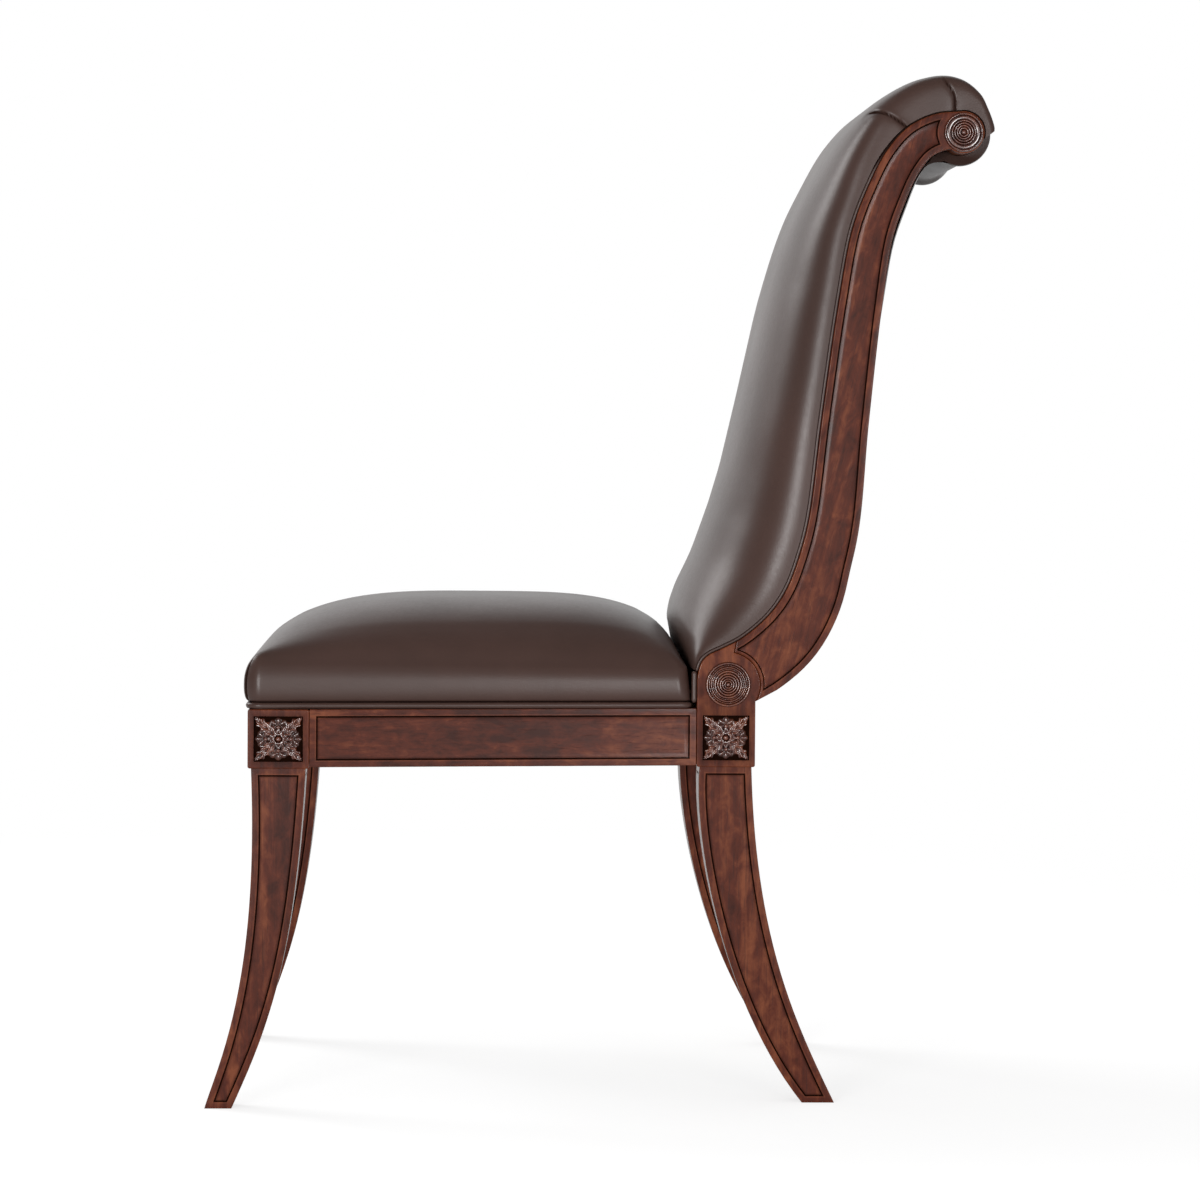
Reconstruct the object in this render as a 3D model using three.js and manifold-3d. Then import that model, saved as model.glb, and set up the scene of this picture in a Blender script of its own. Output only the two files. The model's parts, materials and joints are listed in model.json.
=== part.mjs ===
// An upholstered klismos side chair: sabre legs with carved blocks, a scrolled and padded back
// and a crowned leather seat, built as separate joined pieces of wood, webbing, foam and leather.
import * as THREE from 'three';
import { mergeVertices } from 'three/addons/utils/BufferGeometryUtils.js';
import Module from 'manifold-3d';

const wasm = await Module();
wasm.setup();

// Driving dimensions, in millimetres. X runs across the chair, -Y is its front and +Z is up.
// Depths along Y are counted from the front face of the front blocks.

// Seat frame
const frontWidth = 510; // over the two front blocks
const rearWidth = 424; // over the two rear blocks
const seatDepth = 500; // front of the front blocks to the back of the rear blocks
const legHeight = 335; // floor to the underside of the blocks
const blockHeight = 58;
const frontBlockDepth = 60;
const rearBlockDepth = 58;
const blockThickness = 55; // along X
const legStep = 3.2; // the blocks stand this far proud of the legs
const fit = 0.3; // clearance between neighbours
const overrun = 8; // how far a cutter runs past what it cuts

// Sabre legs
const frontToeSweep = 44.5; // how far the toe runs ahead of the leg's top
const frontSoleLength = 26.5;
const rearHeelSweep = 104.6; // how far the rear foot runs behind the leg's top
const rearSoleLength = 32.2;
const soleThickness = 30; // along X, at the floor
const arris = 1.2; // softened edge of the show wood

// Incised lines and carved plaques
const lineInset = 6.5;
const lineWidth = 1.6;
const lineDepth = 1.2;
const plaqueBorder = 6.2;
const plaqueHeadroom = 7;
const plaqueRecess = 4;
const plaquePlate = 1.4;
const plaqueBead = 4.2;

// Rails, tenons and corner blocks
const railSet = 1.5; // rail faces lie this far behind the block faces
const railRise = 1.5; // rail undersides lie this far above the block undersides
const railThickness = 24;
const tenonThickness = 12;
const tenonHeight = 36;
const tenonLength = 20;
const cornerBlockThickness = 24;
const cornerBlockHeight = 38;
const cornerBlockGap = 2;
const screwRadius = 2;
const screwHeadRadius = 4;
const screwHeadHeight = 2.6;
const screwBite = 12;

// Back: run and rise of the scroll's centre from the top front corner of the rear block
const backRun = 259;
const backRise = 571;
const stileThickness = 34; // along X
const stileWidthFoot = 62;
const stileWidthBend = 52;
const stileWidthMiddle = 47;
const stileWidthShoulder = 42;
const stileWidthNeck = 36.5;
const scrollRadius = 20.7;
const headRoundelRadius = 22;
const scrollRoundelRadius = 17;
const roundelRise = 2.4; // the roundels stand this far proud of the wood
const roundelSeat = 1.5; // and are let in by this
const headRound = 32; // the stile is scribed round the post's head at this radius
const headRise = 24; // the head's centre above the seat frame's top
const dowelRadius = 5;
const dowelLength = 50;
const dowelPitch = 26;
const lowerRailDepth = 36;
const lowerRailHeight = 50;
const crestTenonRadius = 10;
const crestTenonLength = 14;

// Upholstery
const leather = 1.6;
const weltRadius = 3.1; // seat welt
const backWeltRadius = 1.6;
const boardThickness = 12;
const crownHeight = 105; // seat crown above the seat frame
const seatEdgeHeight = 54; // where the seat's side turns into its crown
const seatCornerRadius = 12;
const rearCornerDroop = 16;
const seatLean = 8; // the seat's rear face leans forward by this over its edge height
const seatBulge = 4.6;
const cornerWeltRise = 36; // top of the seat's corner welts above the frame
const cornerWeltRadius = 2.6; // up the seat's rear corners, against the posts
const backDepth = 87; // deepest padding in front of the stiles
const webbingThickness = 1.5;
const outsideRise = 6.5; // the outside back stands this far behind the stiles at its fullest
const outsideCrown = 5;
const rollRadius = 32; // leather round the crest rail
const dustThickness = 0.8;
const dustInset = 10;

// Derived places
const blockTop = legHeight + blockHeight;
const frontHalf = frontWidth / 2;
const rearHalf = rearWidth / 2;
const rearBlockFront = seatDepth - rearBlockDepth;
const railBottom = legHeight + railRise;
const tenonBottom = railBottom + (blockTop - railBottom - tenonHeight) / 2;
const headCentre = new THREE.Vector2(rearBlockFront + rearBlockDepth * 0.53, blockTop + headRise);
const scrollCentre = new THREE.Vector2(rearBlockFront + backRun, blockTop + backRise);
const stileInner = rearHalf - stileThickness;
const postInner = rearHalf - blockThickness;

// Finishes
const mahogany = { color: 0x6b3a2c, roughness: 0.38, metalness: 0 };
const innerWood = { color: 0xa8825a, roughness: 0.75, metalness: 0 };
const hide = { color: 0x49332d, roughness: 0.42, metalness: 0 };
const foam = { color: 0xd9cfa8, roughness: 0.95, metalness: 0 };
const jute = { color: 0x9a8055, roughness: 0.95, metalness: 0 };
const cambric = { color: 0x1c1c1c, roughness: 0.95, metalness: 0 };
const steel = { color: 0x8d9094, roughness: 0.4, metalness: 0.9 };

// Solids

const weldDistance = 1e-3;
const xAxis = new THREE.Vector3(1, 0, 0);
const yAxis = new THREE.Vector3(0, 1, 0);
const zAxis = new THREE.Vector3(0, 0, 1);
const sideToWorld = new THREE.Matrix4().makeBasis(yAxis, zAxis, xAxis);

function solidOf(geometry) {
  const bare = geometry.clone();
  bare.deleteAttribute('normal');
  bare.deleteAttribute('uv');
  const merged = mergeVertices(bare, weldDistance);
  return new wasm.Manifold(new wasm.Mesh({
    numProp: 3,
    vertProperties: new Float32Array(merged.attributes.position.array),
    triVerts: new Uint32Array(merged.index.array),
  }));
}

function geometryOf(solid) {
  const { vertProperties, triVerts } = solid.getMesh();
  const geometry = new THREE.BufferGeometry();
  geometry.setAttribute('position', new THREE.Float32BufferAttribute(vertProperties, 3));
  geometry.setIndex(Array.from(triVerts));
  return geometry;
}

function union(geometries) {
  return geometries.map(solidOf).reduce((whole, piece) => whole.add(piece));
}

function carve(solid, cutters) {
  return cutters.map(solidOf).reduce((whole, cutter) => whole.subtract(cutter), solid);
}

// The same piece on the other side of the chair, with its faces still pointing out.
function mirrored(geometry) {
  const copy = geometry.index ? geometry.clone() : mergeVertices(geometry.clone());
  const position = copy.attributes.position;
  for (let i = 0; i < position.count; i++) position.setX(i, -position.getX(i));
  const index = copy.index.array;
  for (let i = 0; i < index.length; i += 3) {
    const first = index[i];
    index[i] = index[i + 1];
    index[i + 1] = first;
  }
  copy.deleteAttribute('normal');
  return copy;
}

function block(x0, x1, y0, y1, z0, z1) {
  const box = new THREE.BoxGeometry(x1 - x0, y1 - y0, z1 - z0);
  return box.translate((x0 + x1) / 2, (y0 + y1) / 2, (z0 + z1) / 2);
}

// A round bar from one point to another.
function bar(from, to, radius, sides = 10) {
  const along = new THREE.Vector3().subVectors(to, from);
  const cylinder = new THREE.CylinderGeometry(radius, radius, along.length(), sides);
  const turn = new THREE.Quaternion().setFromUnitVectors(yAxis, along.clone().normalize());
  const middle = new THREE.Vector3().addVectors(from, to).multiplyScalar(0.5);
  return cylinder.applyQuaternion(turn).translate(middle.x, middle.y, middle.z);
}

// A side view outline of (depth, height) points, extruded across the chair from x0 to x1.
function sidePlate(outline, x0, x1, chamfer = 0) {
  const plate = new THREE.ExtrudeGeometry(new THREE.Shape(outline), {
    depth: x1 - x0 - 2 * chamfer,
    bevelEnabled: chamfer > 0,
    bevelThickness: chamfer,
    bevelSize: chamfer,
    bevelOffset: -chamfer,
    bevelSegments: 1,
  });
  return plate.applyMatrix4(sideToWorld).translate(x0 + chamfer, 0, 0);
}

// A plan outline of (x, depth) points, extruded upwards from z0 to z1.
function planPlate(outline, z0, z1) {
  const plate = new THREE.ExtrudeGeometry(new THREE.Shape(outline), {
    depth: z1 - z0,
    bevelEnabled: false,
  });
  return plate.translate(0, 0, z0);
}

// The closed solid between two grids of points that have the same rows and columns.
function slabBetween(outer, inner) {
  const rows = outer.length;
  const columns = outer[0].length;
  const points = [...outer.flat(), ...inner.flat()];
  const top = (r, c) => r * columns + c;
  const low = (r, c) => rows * columns + r * columns + c;
  const index = [];
  const quad = (a, b, c, d) => index.push(a, b, c, a, c, d);
  for (let r = 0; r < rows - 1; r++) {
    for (let c = 0; c < columns - 1; c++) {
      quad(top(r, c), top(r, c + 1), top(r + 1, c + 1), top(r + 1, c));
      quad(low(r, c), low(r + 1, c), low(r + 1, c + 1), low(r, c + 1));
    }
    quad(low(r, 0), top(r, 0), top(r + 1, 0), low(r + 1, 0));
    quad(top(r, columns - 1), low(r, columns - 1), low(r + 1, columns - 1), top(r + 1, columns - 1));
  }
  for (let c = 0; c < columns - 1; c++) {
    quad(top(0, c), low(0, c), low(0, c + 1), top(0, c + 1));
    quad(low(rows - 1, c), top(rows - 1, c), top(rows - 1, c + 1), low(rows - 1, c + 1));
  }
  return indexed(points, index);
}

// The closed solid through a stack of rings, from a first pole to a last one.
function stackOfRings(firstPole, rings, lastPole) {
  const count = rings[0].length;
  const points = [firstPole, ...rings.flat(), lastPole];
  const last = points.length - 1;
  const at = (r, i) => 1 + r * count + (i % count);
  const index = [];
  for (let i = 0; i < count; i++) {
    index.push(0, at(0, i), at(0, i + 1));
    for (let r = 0; r < rings.length - 1; r++) {
      index.push(at(r, i), at(r + 1, i), at(r + 1, i + 1));
      index.push(at(r, i), at(r + 1, i + 1), at(r, i + 1));
    }
    index.push(last, at(rings.length - 1, i + 1), at(rings.length - 1, i));
  }
  return indexed(points, index);
}

function indexed(points, index) {
  const geometry = new THREE.BufferGeometry();
  geometry.setFromPoints(points);
  geometry.setIndex(index);
  return geometry;
}

// Side view points with the normal at each one, to the left of the way that the points run.
function withNormals(points) {
  return points.map((point, i) => {
    const before = points[Math.max(0, i - 1)];
    const after = points[Math.min(points.length - 1, i + 1)];
    const tangent = new THREE.Vector2();
    if (point !== before) tangent.add(new THREE.Vector2().subVectors(point, before).normalize());
    if (point !== after) tangent.add(new THREE.Vector2().subVectors(after, point).normalize());
    tangent.normalize();
    return { point, normal: new THREE.Vector2(-tangent.y, tangent.x) };
  });
}

// A value read from a table of [share, value] rows, eased from row to row.
function eased(table, share) {
  let i = 1;
  while (i < table.length - 1 && table[i][0] < share) i++;
  const part = THREE.MathUtils.clamp((share - table[i - 1][0]) / (table[i][0] - table[i - 1][0]), 0, 1);
  return THREE.MathUtils.lerp(table[i - 1][1], table[i][1], part);
}

function turnedBy(direction, angle) {
  return direction.clone().rotateAround(new THREE.Vector2(0, 0), angle);
}

function arc(centre, radius, fromDegrees, toDegrees, steps) {
  const points = [];
  for (let i = 0; i <= steps; i++) {
    const angle = THREE.MathUtils.degToRad(fromDegrees + ((toDegrees - fromDegrees) * i) / steps);
    points.push(new THREE.Vector2(
      centre.x + radius * Math.cos(angle),
      centre.y + radius * Math.sin(angle),
    ));
  }
  return points;
}

const chair = new THREE.Group();
const frameGroup = new THREE.Group();
const backGroup = new THREE.Group();
const upholstery = new THREE.Group();
chair.add(frameGroup, backGroup, upholstery);

function place(group, name, geometry, finish) {
  const mesh = new THREE.Mesh(geometry, new THREE.MeshStandardMaterial(finish));
  mesh.name = name;
  group.add(mesh);
  return mesh;
}

function placePair(group, name, geometry, finish) {
  place(group, name + '_left', geometry, finish);
  place(group, name + '_right', mirrored(geometry), finish);
}

// Sabre legs

// One edge of a leg in side view, from its top to the floor, with its handles as shares of
// the edge's sweep and height.
function sabreEdge(topDepth, sweep, handleShares) {
  const handle = ([sweepShare, heightShare]) =>
    new THREE.Vector2(topDepth + sweep * sweepShare, legHeight * (1 - heightShare));
  const curve = new THREE.CubicBezierCurve(
    new THREE.Vector2(topDepth, legHeight),
    handle(handleShares[0]),
    handle(handleShares[1]),
    new THREE.Vector2(topDepth + sweep, 0),
  );
  return curve.getPoints(11);
}

// The leg below its block: a swept side view whose inner face tapers to the sole.
function legBody(frontEdge, rearEdge, outerX) {
  const top = legHeight + overrun;
  const outline = [
    new THREE.Vector2(frontEdge[0].x, top),
    ...frontEdge.slice(1),
    ...rearEdge.slice(1).reverse(),
    new THREE.Vector2(rearEdge[0].x, top),
  ];
  const thickness = blockThickness - 1.5 * legStep;
  const body = sidePlate(outline, outerX - thickness, outerX, arris);
  const position = body.attributes.position;
  const middle = outerX - thickness / 2;
  for (let i = 0; i < position.count; i++) {
    const drop = Math.max(0, 1 - position.getZ(i) / legHeight);
    const shift = position.getX(i) < middle ? (thickness - soleThickness) * drop : 0;
    position.setX(i, position.getX(i) + shift);
  }
  return body;
}

// Points of an edge moved sideways by a distance, kept between two heights.
function insetEdge(edge, distance, low, high) {
  const moved = edge.map((point, i) => {
    const before = edge[Math.max(0, i - 1)];
    const after = edge[Math.min(edge.length - 1, i + 1)];
    const run = new THREE.Vector2().subVectors(after, before).normalize();
    return new THREE.Vector2(point.x - run.y * distance, point.y + run.x * distance);
  });
  const inside = moved.filter((point) => point.y > low && point.y < high);
  const atHeight = (height) => {
    const i = moved.findIndex((point, k) => k > 0 && point.y <= height);
    const part = (moved[i - 1].y - height) / (moved[i - 1].y - moved[i].y);
    return moved[i - 1].clone().lerp(moved[i], part);
  };
  return [atHeight(high), ...inside, atHeight(low)];
}

// The incised line that runs round a leg's outer face.
function legLine(frontEdge, rearEdge, outerX) {
  const ring = (inset) => {
    const low = inset;
    const high = legHeight - inset;
    return [
      ...insetEdge(frontEdge, inset, low, high),
      ...insetEdge(rearEdge, -inset, low, high).reverse(),
    ];
  };
  const shape = new THREE.Shape(ring(lineInset));
  shape.holes.push(new THREE.Path(ring(lineInset + lineWidth)));
  const band = new THREE.ExtrudeGeometry(shape, { depth: lineDepth + overrun, bevelEnabled: false });
  return band.applyMatrix4(sideToWorld).translate(outerX - lineDepth, 0, 0);
}

const frontLegOuter = frontHalf - legStep;
const rearLegOuter = rearHalf - legStep;
const toeEdge = sabreEdge(legStep, -frontToeSweep, [[-0.21, 0.64], [0.74, 0.88]]);
const frontHeelEdge = sabreEdge(
  frontBlockDepth - legStep,
  -(frontBlockDepth - 2 * legStep - frontSoleLength + frontToeSweep),
  [[0.15, 0.59], [0.54, 0.78]],
);
const rearInnerEdge = sabreEdge(
  rearBlockFront + legStep,
  rearHeelSweep,
  [[-0.06, 0.19], [0.22, 0.7]],
);
const rearOuterEdge = sabreEdge(
  seatDepth - legStep,
  rearHeelSweep + rearSoleLength - (rearBlockDepth - 2 * legStep),
  [[0.06, 0.52], [0.56, 0.77]],
);

// Back curve: the stiles' front edge, which the padding, the webbing and the welt also follow.
// Its points are shares of the back's run and rise.
const backEdgeShares = [
  [0, 0.051], [0.006, 0.067], [0.019, 0.082], [0.044, 0.093], [0.108, 0.107], [0.176, 0.124],
  [0.276, 0.164], [0.341, 0.208], [0.391, 0.27], [0.424, 0.332], [0.469, 0.502], [0.531, 0.709],
  [0.58, 0.832], [0.634, 0.9], [0.706, 0.9655], [0.788, 1.008], [0.892, 1.031],
];
const backEdgePoints = backEdgeShares.map(([run, rise]) =>
  new THREE.Vector3(rearBlockFront + backRun * run, blockTop + backRise * rise, 0));
backEdgePoints.push(new THREE.Vector3(scrollCentre.x, scrollCentre.y + scrollRadius, 0));
const backEdgeSpline = new THREE.CatmullRomCurve3(backEdgePoints, false, 'centripetal');

// The stations along that edge, as shares of its length. The outlines of the wood and the rows
// of the padding share them, so their facets stay parallel.
const stationShares = [
  0, 0.0125, 0.025, 0.0375, 0.05, 0.065, 0.08, 0.1, 0.125, 0.15, 0.175, 0.2, 0.24, 0.28, 0.33,
  0.38, 0.44, 0.5, 0.57, 0.64, 0.7, 0.73, 0.76, 0.785, 0.81, 0.835, 0.86, 0.885, 0.91, 0.935,
  0.96, 0.98, 1,
];
function backEdgeAt(share) {
  const { x, y } = backEdgeSpline.getPointAt(share);
  return new THREE.Vector2(x, y);
}
const backEdge = withNormals(stationShares.map(backEdgeAt));
backEdge.forEach((station, i) => Object.assign(station, { share: stationShares[i] }));

// The stile's width along that edge, at shares of the edge's length.
const stileWidths = [
  [0.06, stileWidthFoot], [0.14, stileWidthFoot], [0.25, stileWidthBend],
  [0.44, stileWidthMiddle], [0.68, stileWidthShoulder], [0.95, stileWidthNeck],
];
const stileFootShare = 0.09;
const stileNeckShare = 0.97;
const stileStations = backEdge.filter(({ share }) => share > stileFootShare && share < stileNeckShare);

// Points inside the stile, at a distance from its rear edge or beyond it.
function rearEdge(extra, stations = stileStations) {
  return stations.map(({ point, normal, share }) =>
    point.clone().addScaledVector(normal, -(eased(stileWidths, share) + extra)));
}

// The post's head and the stile meet on a circle round the head's roundel.
const postRearReach = seatDepth - headCentre.x;
const cornerHeight = headCentre.y - Math.sqrt(headRound ** 2 - postRearReach ** 2);
const cornerDegrees = THREE.MathUtils.radToDeg(Math.asin((cornerHeight - headCentre.y) / headRound));
const shoulderDegrees = 80;

function shoulderPoint(radius) {
  return arc(headCentre, radius, shoulderDegrees, shoulderDegrees, 1)[0];
}

// The share of the back edge that lies straight out from the shoulder.
function shoulderShare() {
  const ray = shoulderPoint(headRound).sub(headCentre).normalize();
  let low = 0.02;
  let high = 0.2;
  for (let turn = 0; turn < 30; turn++) {
    const middle = (low + high) / 2;
    if (backEdgeAt(middle).sub(headCentre).cross(ray) > 0) high = middle;
    else low = middle;
  }
  return low;
}
const jointShare = shoulderShare();
const fitShare = fit / backEdgeSpline.getLength();

// Points of the back edge between two shares: its stations, and the two ends.
function backEdgeStretch(from, to) {
  const inside = backEdge.filter(({ share }) => share > from && share < to);
  return [backEdgeAt(from), ...inside.map(({ point }) => point), backEdgeAt(to)];
}

// Rear post: block, head and leg in one piece

const postOutline = [
  new THREE.Vector2(rearBlockFront, legHeight),
  new THREE.Vector2(seatDepth, legHeight),
  ...arc(headCentre, headRound, cornerDegrees, shoulderDegrees, 9),
  ...backEdgeStretch(0, jointShare).reverse(),
];

// Recesses and mortises

function mortise(x0, x1, y0, y1, z0, z1) {
  return block(x0 - fit, x1 + fit, y0 - fit, y1 + fit, z0 - fit, z1 + fit);
}

const tenonTop = tenonBottom + tenonHeight;
const tenonSet = (railThickness - tenonThickness) / 2;

// The side rail's outer face runs in a straight line from block to block.
const sideRailSlope = (rearHalf - frontHalf) / (rearBlockFront - frontBlockDepth);
function sideRailOuter(depth) {
  return frontHalf - railSet + sideRailSlope * (depth - frontBlockDepth);
}

const sideTenonFront = sideRailOuter(frontBlockDepth) - tenonSet;
const sideTenonRear = sideRailOuter(rearBlockFront) - tenonSet;
const frontBlockInner = frontHalf - blockThickness;
const frontRailFace = railSet;
const rearRailFace = seatDepth - railSet;

const sideTenons = [
  [sideTenonFront - tenonThickness, sideTenonFront, frontBlockDepth - tenonLength, frontBlockDepth + tenonLength],
  [sideTenonRear - tenonThickness, sideTenonRear, rearBlockFront - tenonLength, rearBlockFront + tenonLength],
];
const frontTenon = [
  frontBlockInner - overrun, frontBlockInner + tenonLength,
  frontRailFace + tenonSet, frontRailFace + tenonSet + tenonThickness,
];
const rearTenon = [
  postInner - overrun, postInner + tenonLength,
  rearRailFace - tenonSet - tenonThickness, rearRailFace - tenonSet,
];

// Lower back rail, between the heads of the posts
const lowerRailRear = seatDepth - 2 * railSet;
const lowerRailFront = lowerRailRear - lowerRailDepth;
const lowerRailBottom = blockTop + fit;
const lowerTenon = [
  postInner - overrun, postInner + tenonLength,
  lowerRailFront + (lowerRailDepth - tenonThickness) / 2,
  lowerRailFront + (lowerRailDepth + tenonThickness) / 2,
];
const lowerTenonBottom = lowerRailBottom + (lowerRailHeight - tenonHeight) / 2;

// Plaque sizes on each block, as [half width, half height]
const plaqueHalfHeight = blockHeight / 2 - plaqueHeadroom;
const frontPlaque = [frontBlockDepth / 2 - plaqueBorder, plaqueHalfHeight];
const facePlaque = [blockThickness / 2 - plaqueBorder, plaqueHalfHeight];
const rearPlaque = [rearBlockDepth / 2 - plaqueBorder, plaqueHalfHeight];
const plaqueHeight = legHeight + blockHeight / 2;

// Dowels between head and stile, along the stile's first run
const dowelDegrees = 36;
const dowelRun = turnedBy(new THREE.Vector2(1, 0), THREE.MathUtils.degToRad(dowelDegrees));
const dowelX = rearHalf - stileThickness / 2;

function dowelEnds(side, reach) {
  const across = new THREE.Vector2(-dowelRun.y, dowelRun.x).multiplyScalar((side * dowelPitch) / 2);
  const middle = headCentre.clone().add(across).addScaledVector(dowelRun, headRound * 0.92);
  return [-1, 1].map((end) => {
    const tip = middle.clone().addScaledVector(dowelRun, end * reach);
    return new THREE.Vector3(dowelX, tip.x, tip.y);
  });
}

const dowelHoles = [-1, 1].map((side) => bar(...dowelEnds(side, dowelLength / 2 + fit), dowelRadius + fit));

function roundelSeatCut(centre, radius) {
  const from = new THREE.Vector3(rearHalf - roundelSeat, centre.x, centre.y);
  return bar(from, from.clone().setX(rearHalf + overrun), radius + fit, 24);
}

const frontLeg = carve(
  union([
    block(frontBlockInner, frontHalf, 0, frontBlockDepth, legHeight, blockTop),
    legBody(toeEdge, frontHeelEdge, frontLegOuter),
  ]),
  [
    legLine(toeEdge, frontHeelEdge, frontLegOuter),
    mortise(...sideTenons[0], tenonBottom, tenonTop),
    mortise(...frontTenon, tenonBottom, tenonTop),
    block(
      frontHalf - plaqueRecess, frontHalf + overrun,
      frontBlockDepth / 2 - frontPlaque[0] - fit, frontBlockDepth / 2 + frontPlaque[0] + fit,
      plaqueHeight - plaqueHalfHeight - fit, plaqueHeight + plaqueHalfHeight + fit,
    ),
    block(
      frontHalf - blockThickness / 2 - facePlaque[0] - fit, frontHalf - blockThickness / 2 + facePlaque[0] + fit,
      -overrun, plaqueRecess,
      plaqueHeight - plaqueHalfHeight - fit, plaqueHeight + plaqueHalfHeight + fit,
    ),
  ],
);
placePair(frameGroup, 'front_leg', geometryOf(frontLeg), mahogany);

const crestMortise = [
  new THREE.Vector3(stileInner - overrun, scrollCentre.x, scrollCentre.y),
  new THREE.Vector3(stileInner + crestTenonLength + fit, scrollCentre.x, scrollCentre.y),
];

const rearPost = carve(
  union([
    sidePlate(postOutline, postInner, rearHalf),
    legBody(rearInnerEdge, rearOuterEdge, rearLegOuter),
  ]),
  [
    legLine(rearInnerEdge, rearOuterEdge, rearLegOuter),
    mortise(...sideTenons[1], tenonBottom, tenonTop),
    mortise(...rearTenon, tenonBottom, tenonTop),
    mortise(...lowerTenon, lowerTenonBottom, lowerTenonBottom + tenonHeight),
    ...dowelHoles,
    roundelSeatCut(headCentre, headRoundelRadius),
    block(
      rearHalf - plaqueRecess, rearHalf + overrun,
      seatDepth - rearBlockDepth / 2 - rearPlaque[0] - fit, seatDepth - rearBlockDepth / 2 + rearPlaque[0] + fit,
      plaqueHeight - plaqueHalfHeight - fit, plaqueHeight + plaqueHalfHeight + fit,
    ),
  ],
);
placePair(frameGroup, 'rear_leg', geometryOf(rearPost), mahogany);

// Scrolled stiles

// Round the scroll, in degrees: the neck meets it, the inside leather ends at its seam, and the
// outside leather ends just short of that seam.
const scrollDegrees = { neck: -128, rollEnd: -19, seam: -15 };
const seamArc = arc(scrollCentre, scrollRadius, scrollDegrees.seam, 90, 6);
const scribe = headRound + fit;
const stileOutline = [
  ...arc(headCentre, scribe, cornerDegrees + 1, shoulderDegrees, 9).reverse(),
  ...rearEdge(0),
  ...arc(scrollCentre, scrollRadius, scrollDegrees.neck, scrollDegrees.seam, 8).slice(0, -1),
  ...seamArc,
  ...backEdgeStretch(jointShare + fitShare, 1).slice(0, -1).reverse(),
];

// The incised panel line: open at the scribed foot, closed by an upright line before the scroll.
const panelEndDepth = scrollCentre.x - scrollRoundelRadius - lineInset;

function panelSide(inset) {
  const stations = backEdge.filter(({ share }) => share > jointShare / 2);
  const front = stations.map(({ point, normal }) => point.clone().addScaledVector(normal, -inset));
  const rear = rearEdge(-inset, stations);
  const end = panelEndDepth + lineInset - inset;
  const kept = (points) => points.filter((point) => point.x < end);
  const closing = (points) => {
    const after = points.find((point) => point.x >= end);
    const before = points[points.indexOf(after) - 1];
    return before.clone().lerp(after, (end - before.x) / (after.x - before.x));
  };
  return { front: [...kept(front), closing(front)], rear: [...kept(rear), closing(rear)] };
}

const outerLine = panelSide(lineInset);
const innerLine = panelSide(lineInset + lineWidth);
const panelBand = [
  ...outerLine.front, ...outerLine.rear.slice().reverse(),
  ...innerLine.rear, ...innerLine.front.slice().reverse(),
];

const stile = carve(union([sidePlate(stileOutline, stileInner, rearHalf, arris)]), [
  sidePlate(panelBand, rearHalf - lineDepth, rearHalf + overrun),
  ...dowelHoles,
  roundelSeatCut(scrollCentre, scrollRoundelRadius),
  bar(...crestMortise, crestTenonRadius + fit, 20),
]);
placePair(backGroup, 'back_stile', geometryOf(stile), mahogany);

for (const [side, name] of [[-1, 'lower'], [1, 'upper']]) {
  const dowel = bar(...dowelEnds(side, dowelLength / 2), dowelRadius);
  placePair(backGroup, 'stile_dowel_' + name, dowel, innerWood);
}

// Rails

// The incised line on a rail's face, for a face that runs from one corner to another in plan.
function railLine(from, to) {
  const run = new THREE.Vector3().subVectors(to, from);
  const length = run.length();
  run.normalize();
  const out = new THREE.Vector3().crossVectors(run, zAxis);
  const frame = (inset) => [
    new THREE.Vector2(inset, railBottom + inset),
    new THREE.Vector2(length - inset, railBottom + inset),
    new THREE.Vector2(length - inset, blockTop - inset),
    new THREE.Vector2(inset, blockTop - inset),
  ];
  const shape = new THREE.Shape(frame(lineInset));
  shape.holes.push(new THREE.Path(frame(lineInset + lineWidth)));
  const band = new THREE.ExtrudeGeometry(shape, { depth: lineDepth + overrun, bevelEnabled: false });
  const toFace = new THREE.Matrix4().makeBasis(run, zAxis, out);
  const start = from.clone().addScaledVector(out, -lineDepth);
  return band.applyMatrix4(toFace).translate(start.x, start.y, 0);
}

const sideRailStart = frontBlockDepth + fit;
const sideRailEnd = rearBlockFront - fit;
const sideRailInner = (depth) => sideRailOuter(depth) - railThickness;
const sideRailPlan = [
  new THREE.Vector2(sideRailInner(sideRailStart), sideRailStart),
  new THREE.Vector2(sideRailOuter(sideRailStart), sideRailStart),
  new THREE.Vector2(sideRailOuter(sideRailEnd), sideRailEnd),
  new THREE.Vector2(sideRailInner(sideRailEnd), sideRailEnd),
];

// Corner blocks: diagonal braces that clear the legs' inner corners

function cornerBlockPlan(corner, facing, railInner) {
  const line = (distance) => {
    const reach = distance * Math.SQRT2;
    const onRail = new THREE.Vector2(corner.x - reach + (railInner - corner.y) * facing, railInner);
    const slope = 1 - facing * sideRailSlope;
    const base = sideRailInner(0) - fit - corner.x + reach;
    const depth = (corner.y + facing * base) / slope;
    return [onRail, new THREE.Vector2(sideRailInner(depth) - fit, depth)];
  };
  const near = line(cornerBlockGap);
  const far = line(cornerBlockGap + cornerBlockThickness);
  return [near[0], far[0], far[1], near[1]];
}

const frontRailInner = frontRailFace + railThickness + fit;
const rearRailInner = rearRailFace - railThickness - fit;
const cornerBlockBottom = blockTop - cornerBlockHeight;
const cornerPlans = {
  front: cornerBlockPlan(new THREE.Vector2(frontBlockInner, frontBlockDepth), 1, frontRailInner),
  rear: cornerBlockPlan(new THREE.Vector2(postInner, rearBlockFront), -1, rearRailInner),
};

function centreOf(points) {
  const sum = points.reduce((total, point) => total.add(point), new THREE.Vector2());
  return sum.multiplyScalar(1 / points.length);
}

// Screws: through each corner block into both rails, and up into the seat board

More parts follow.
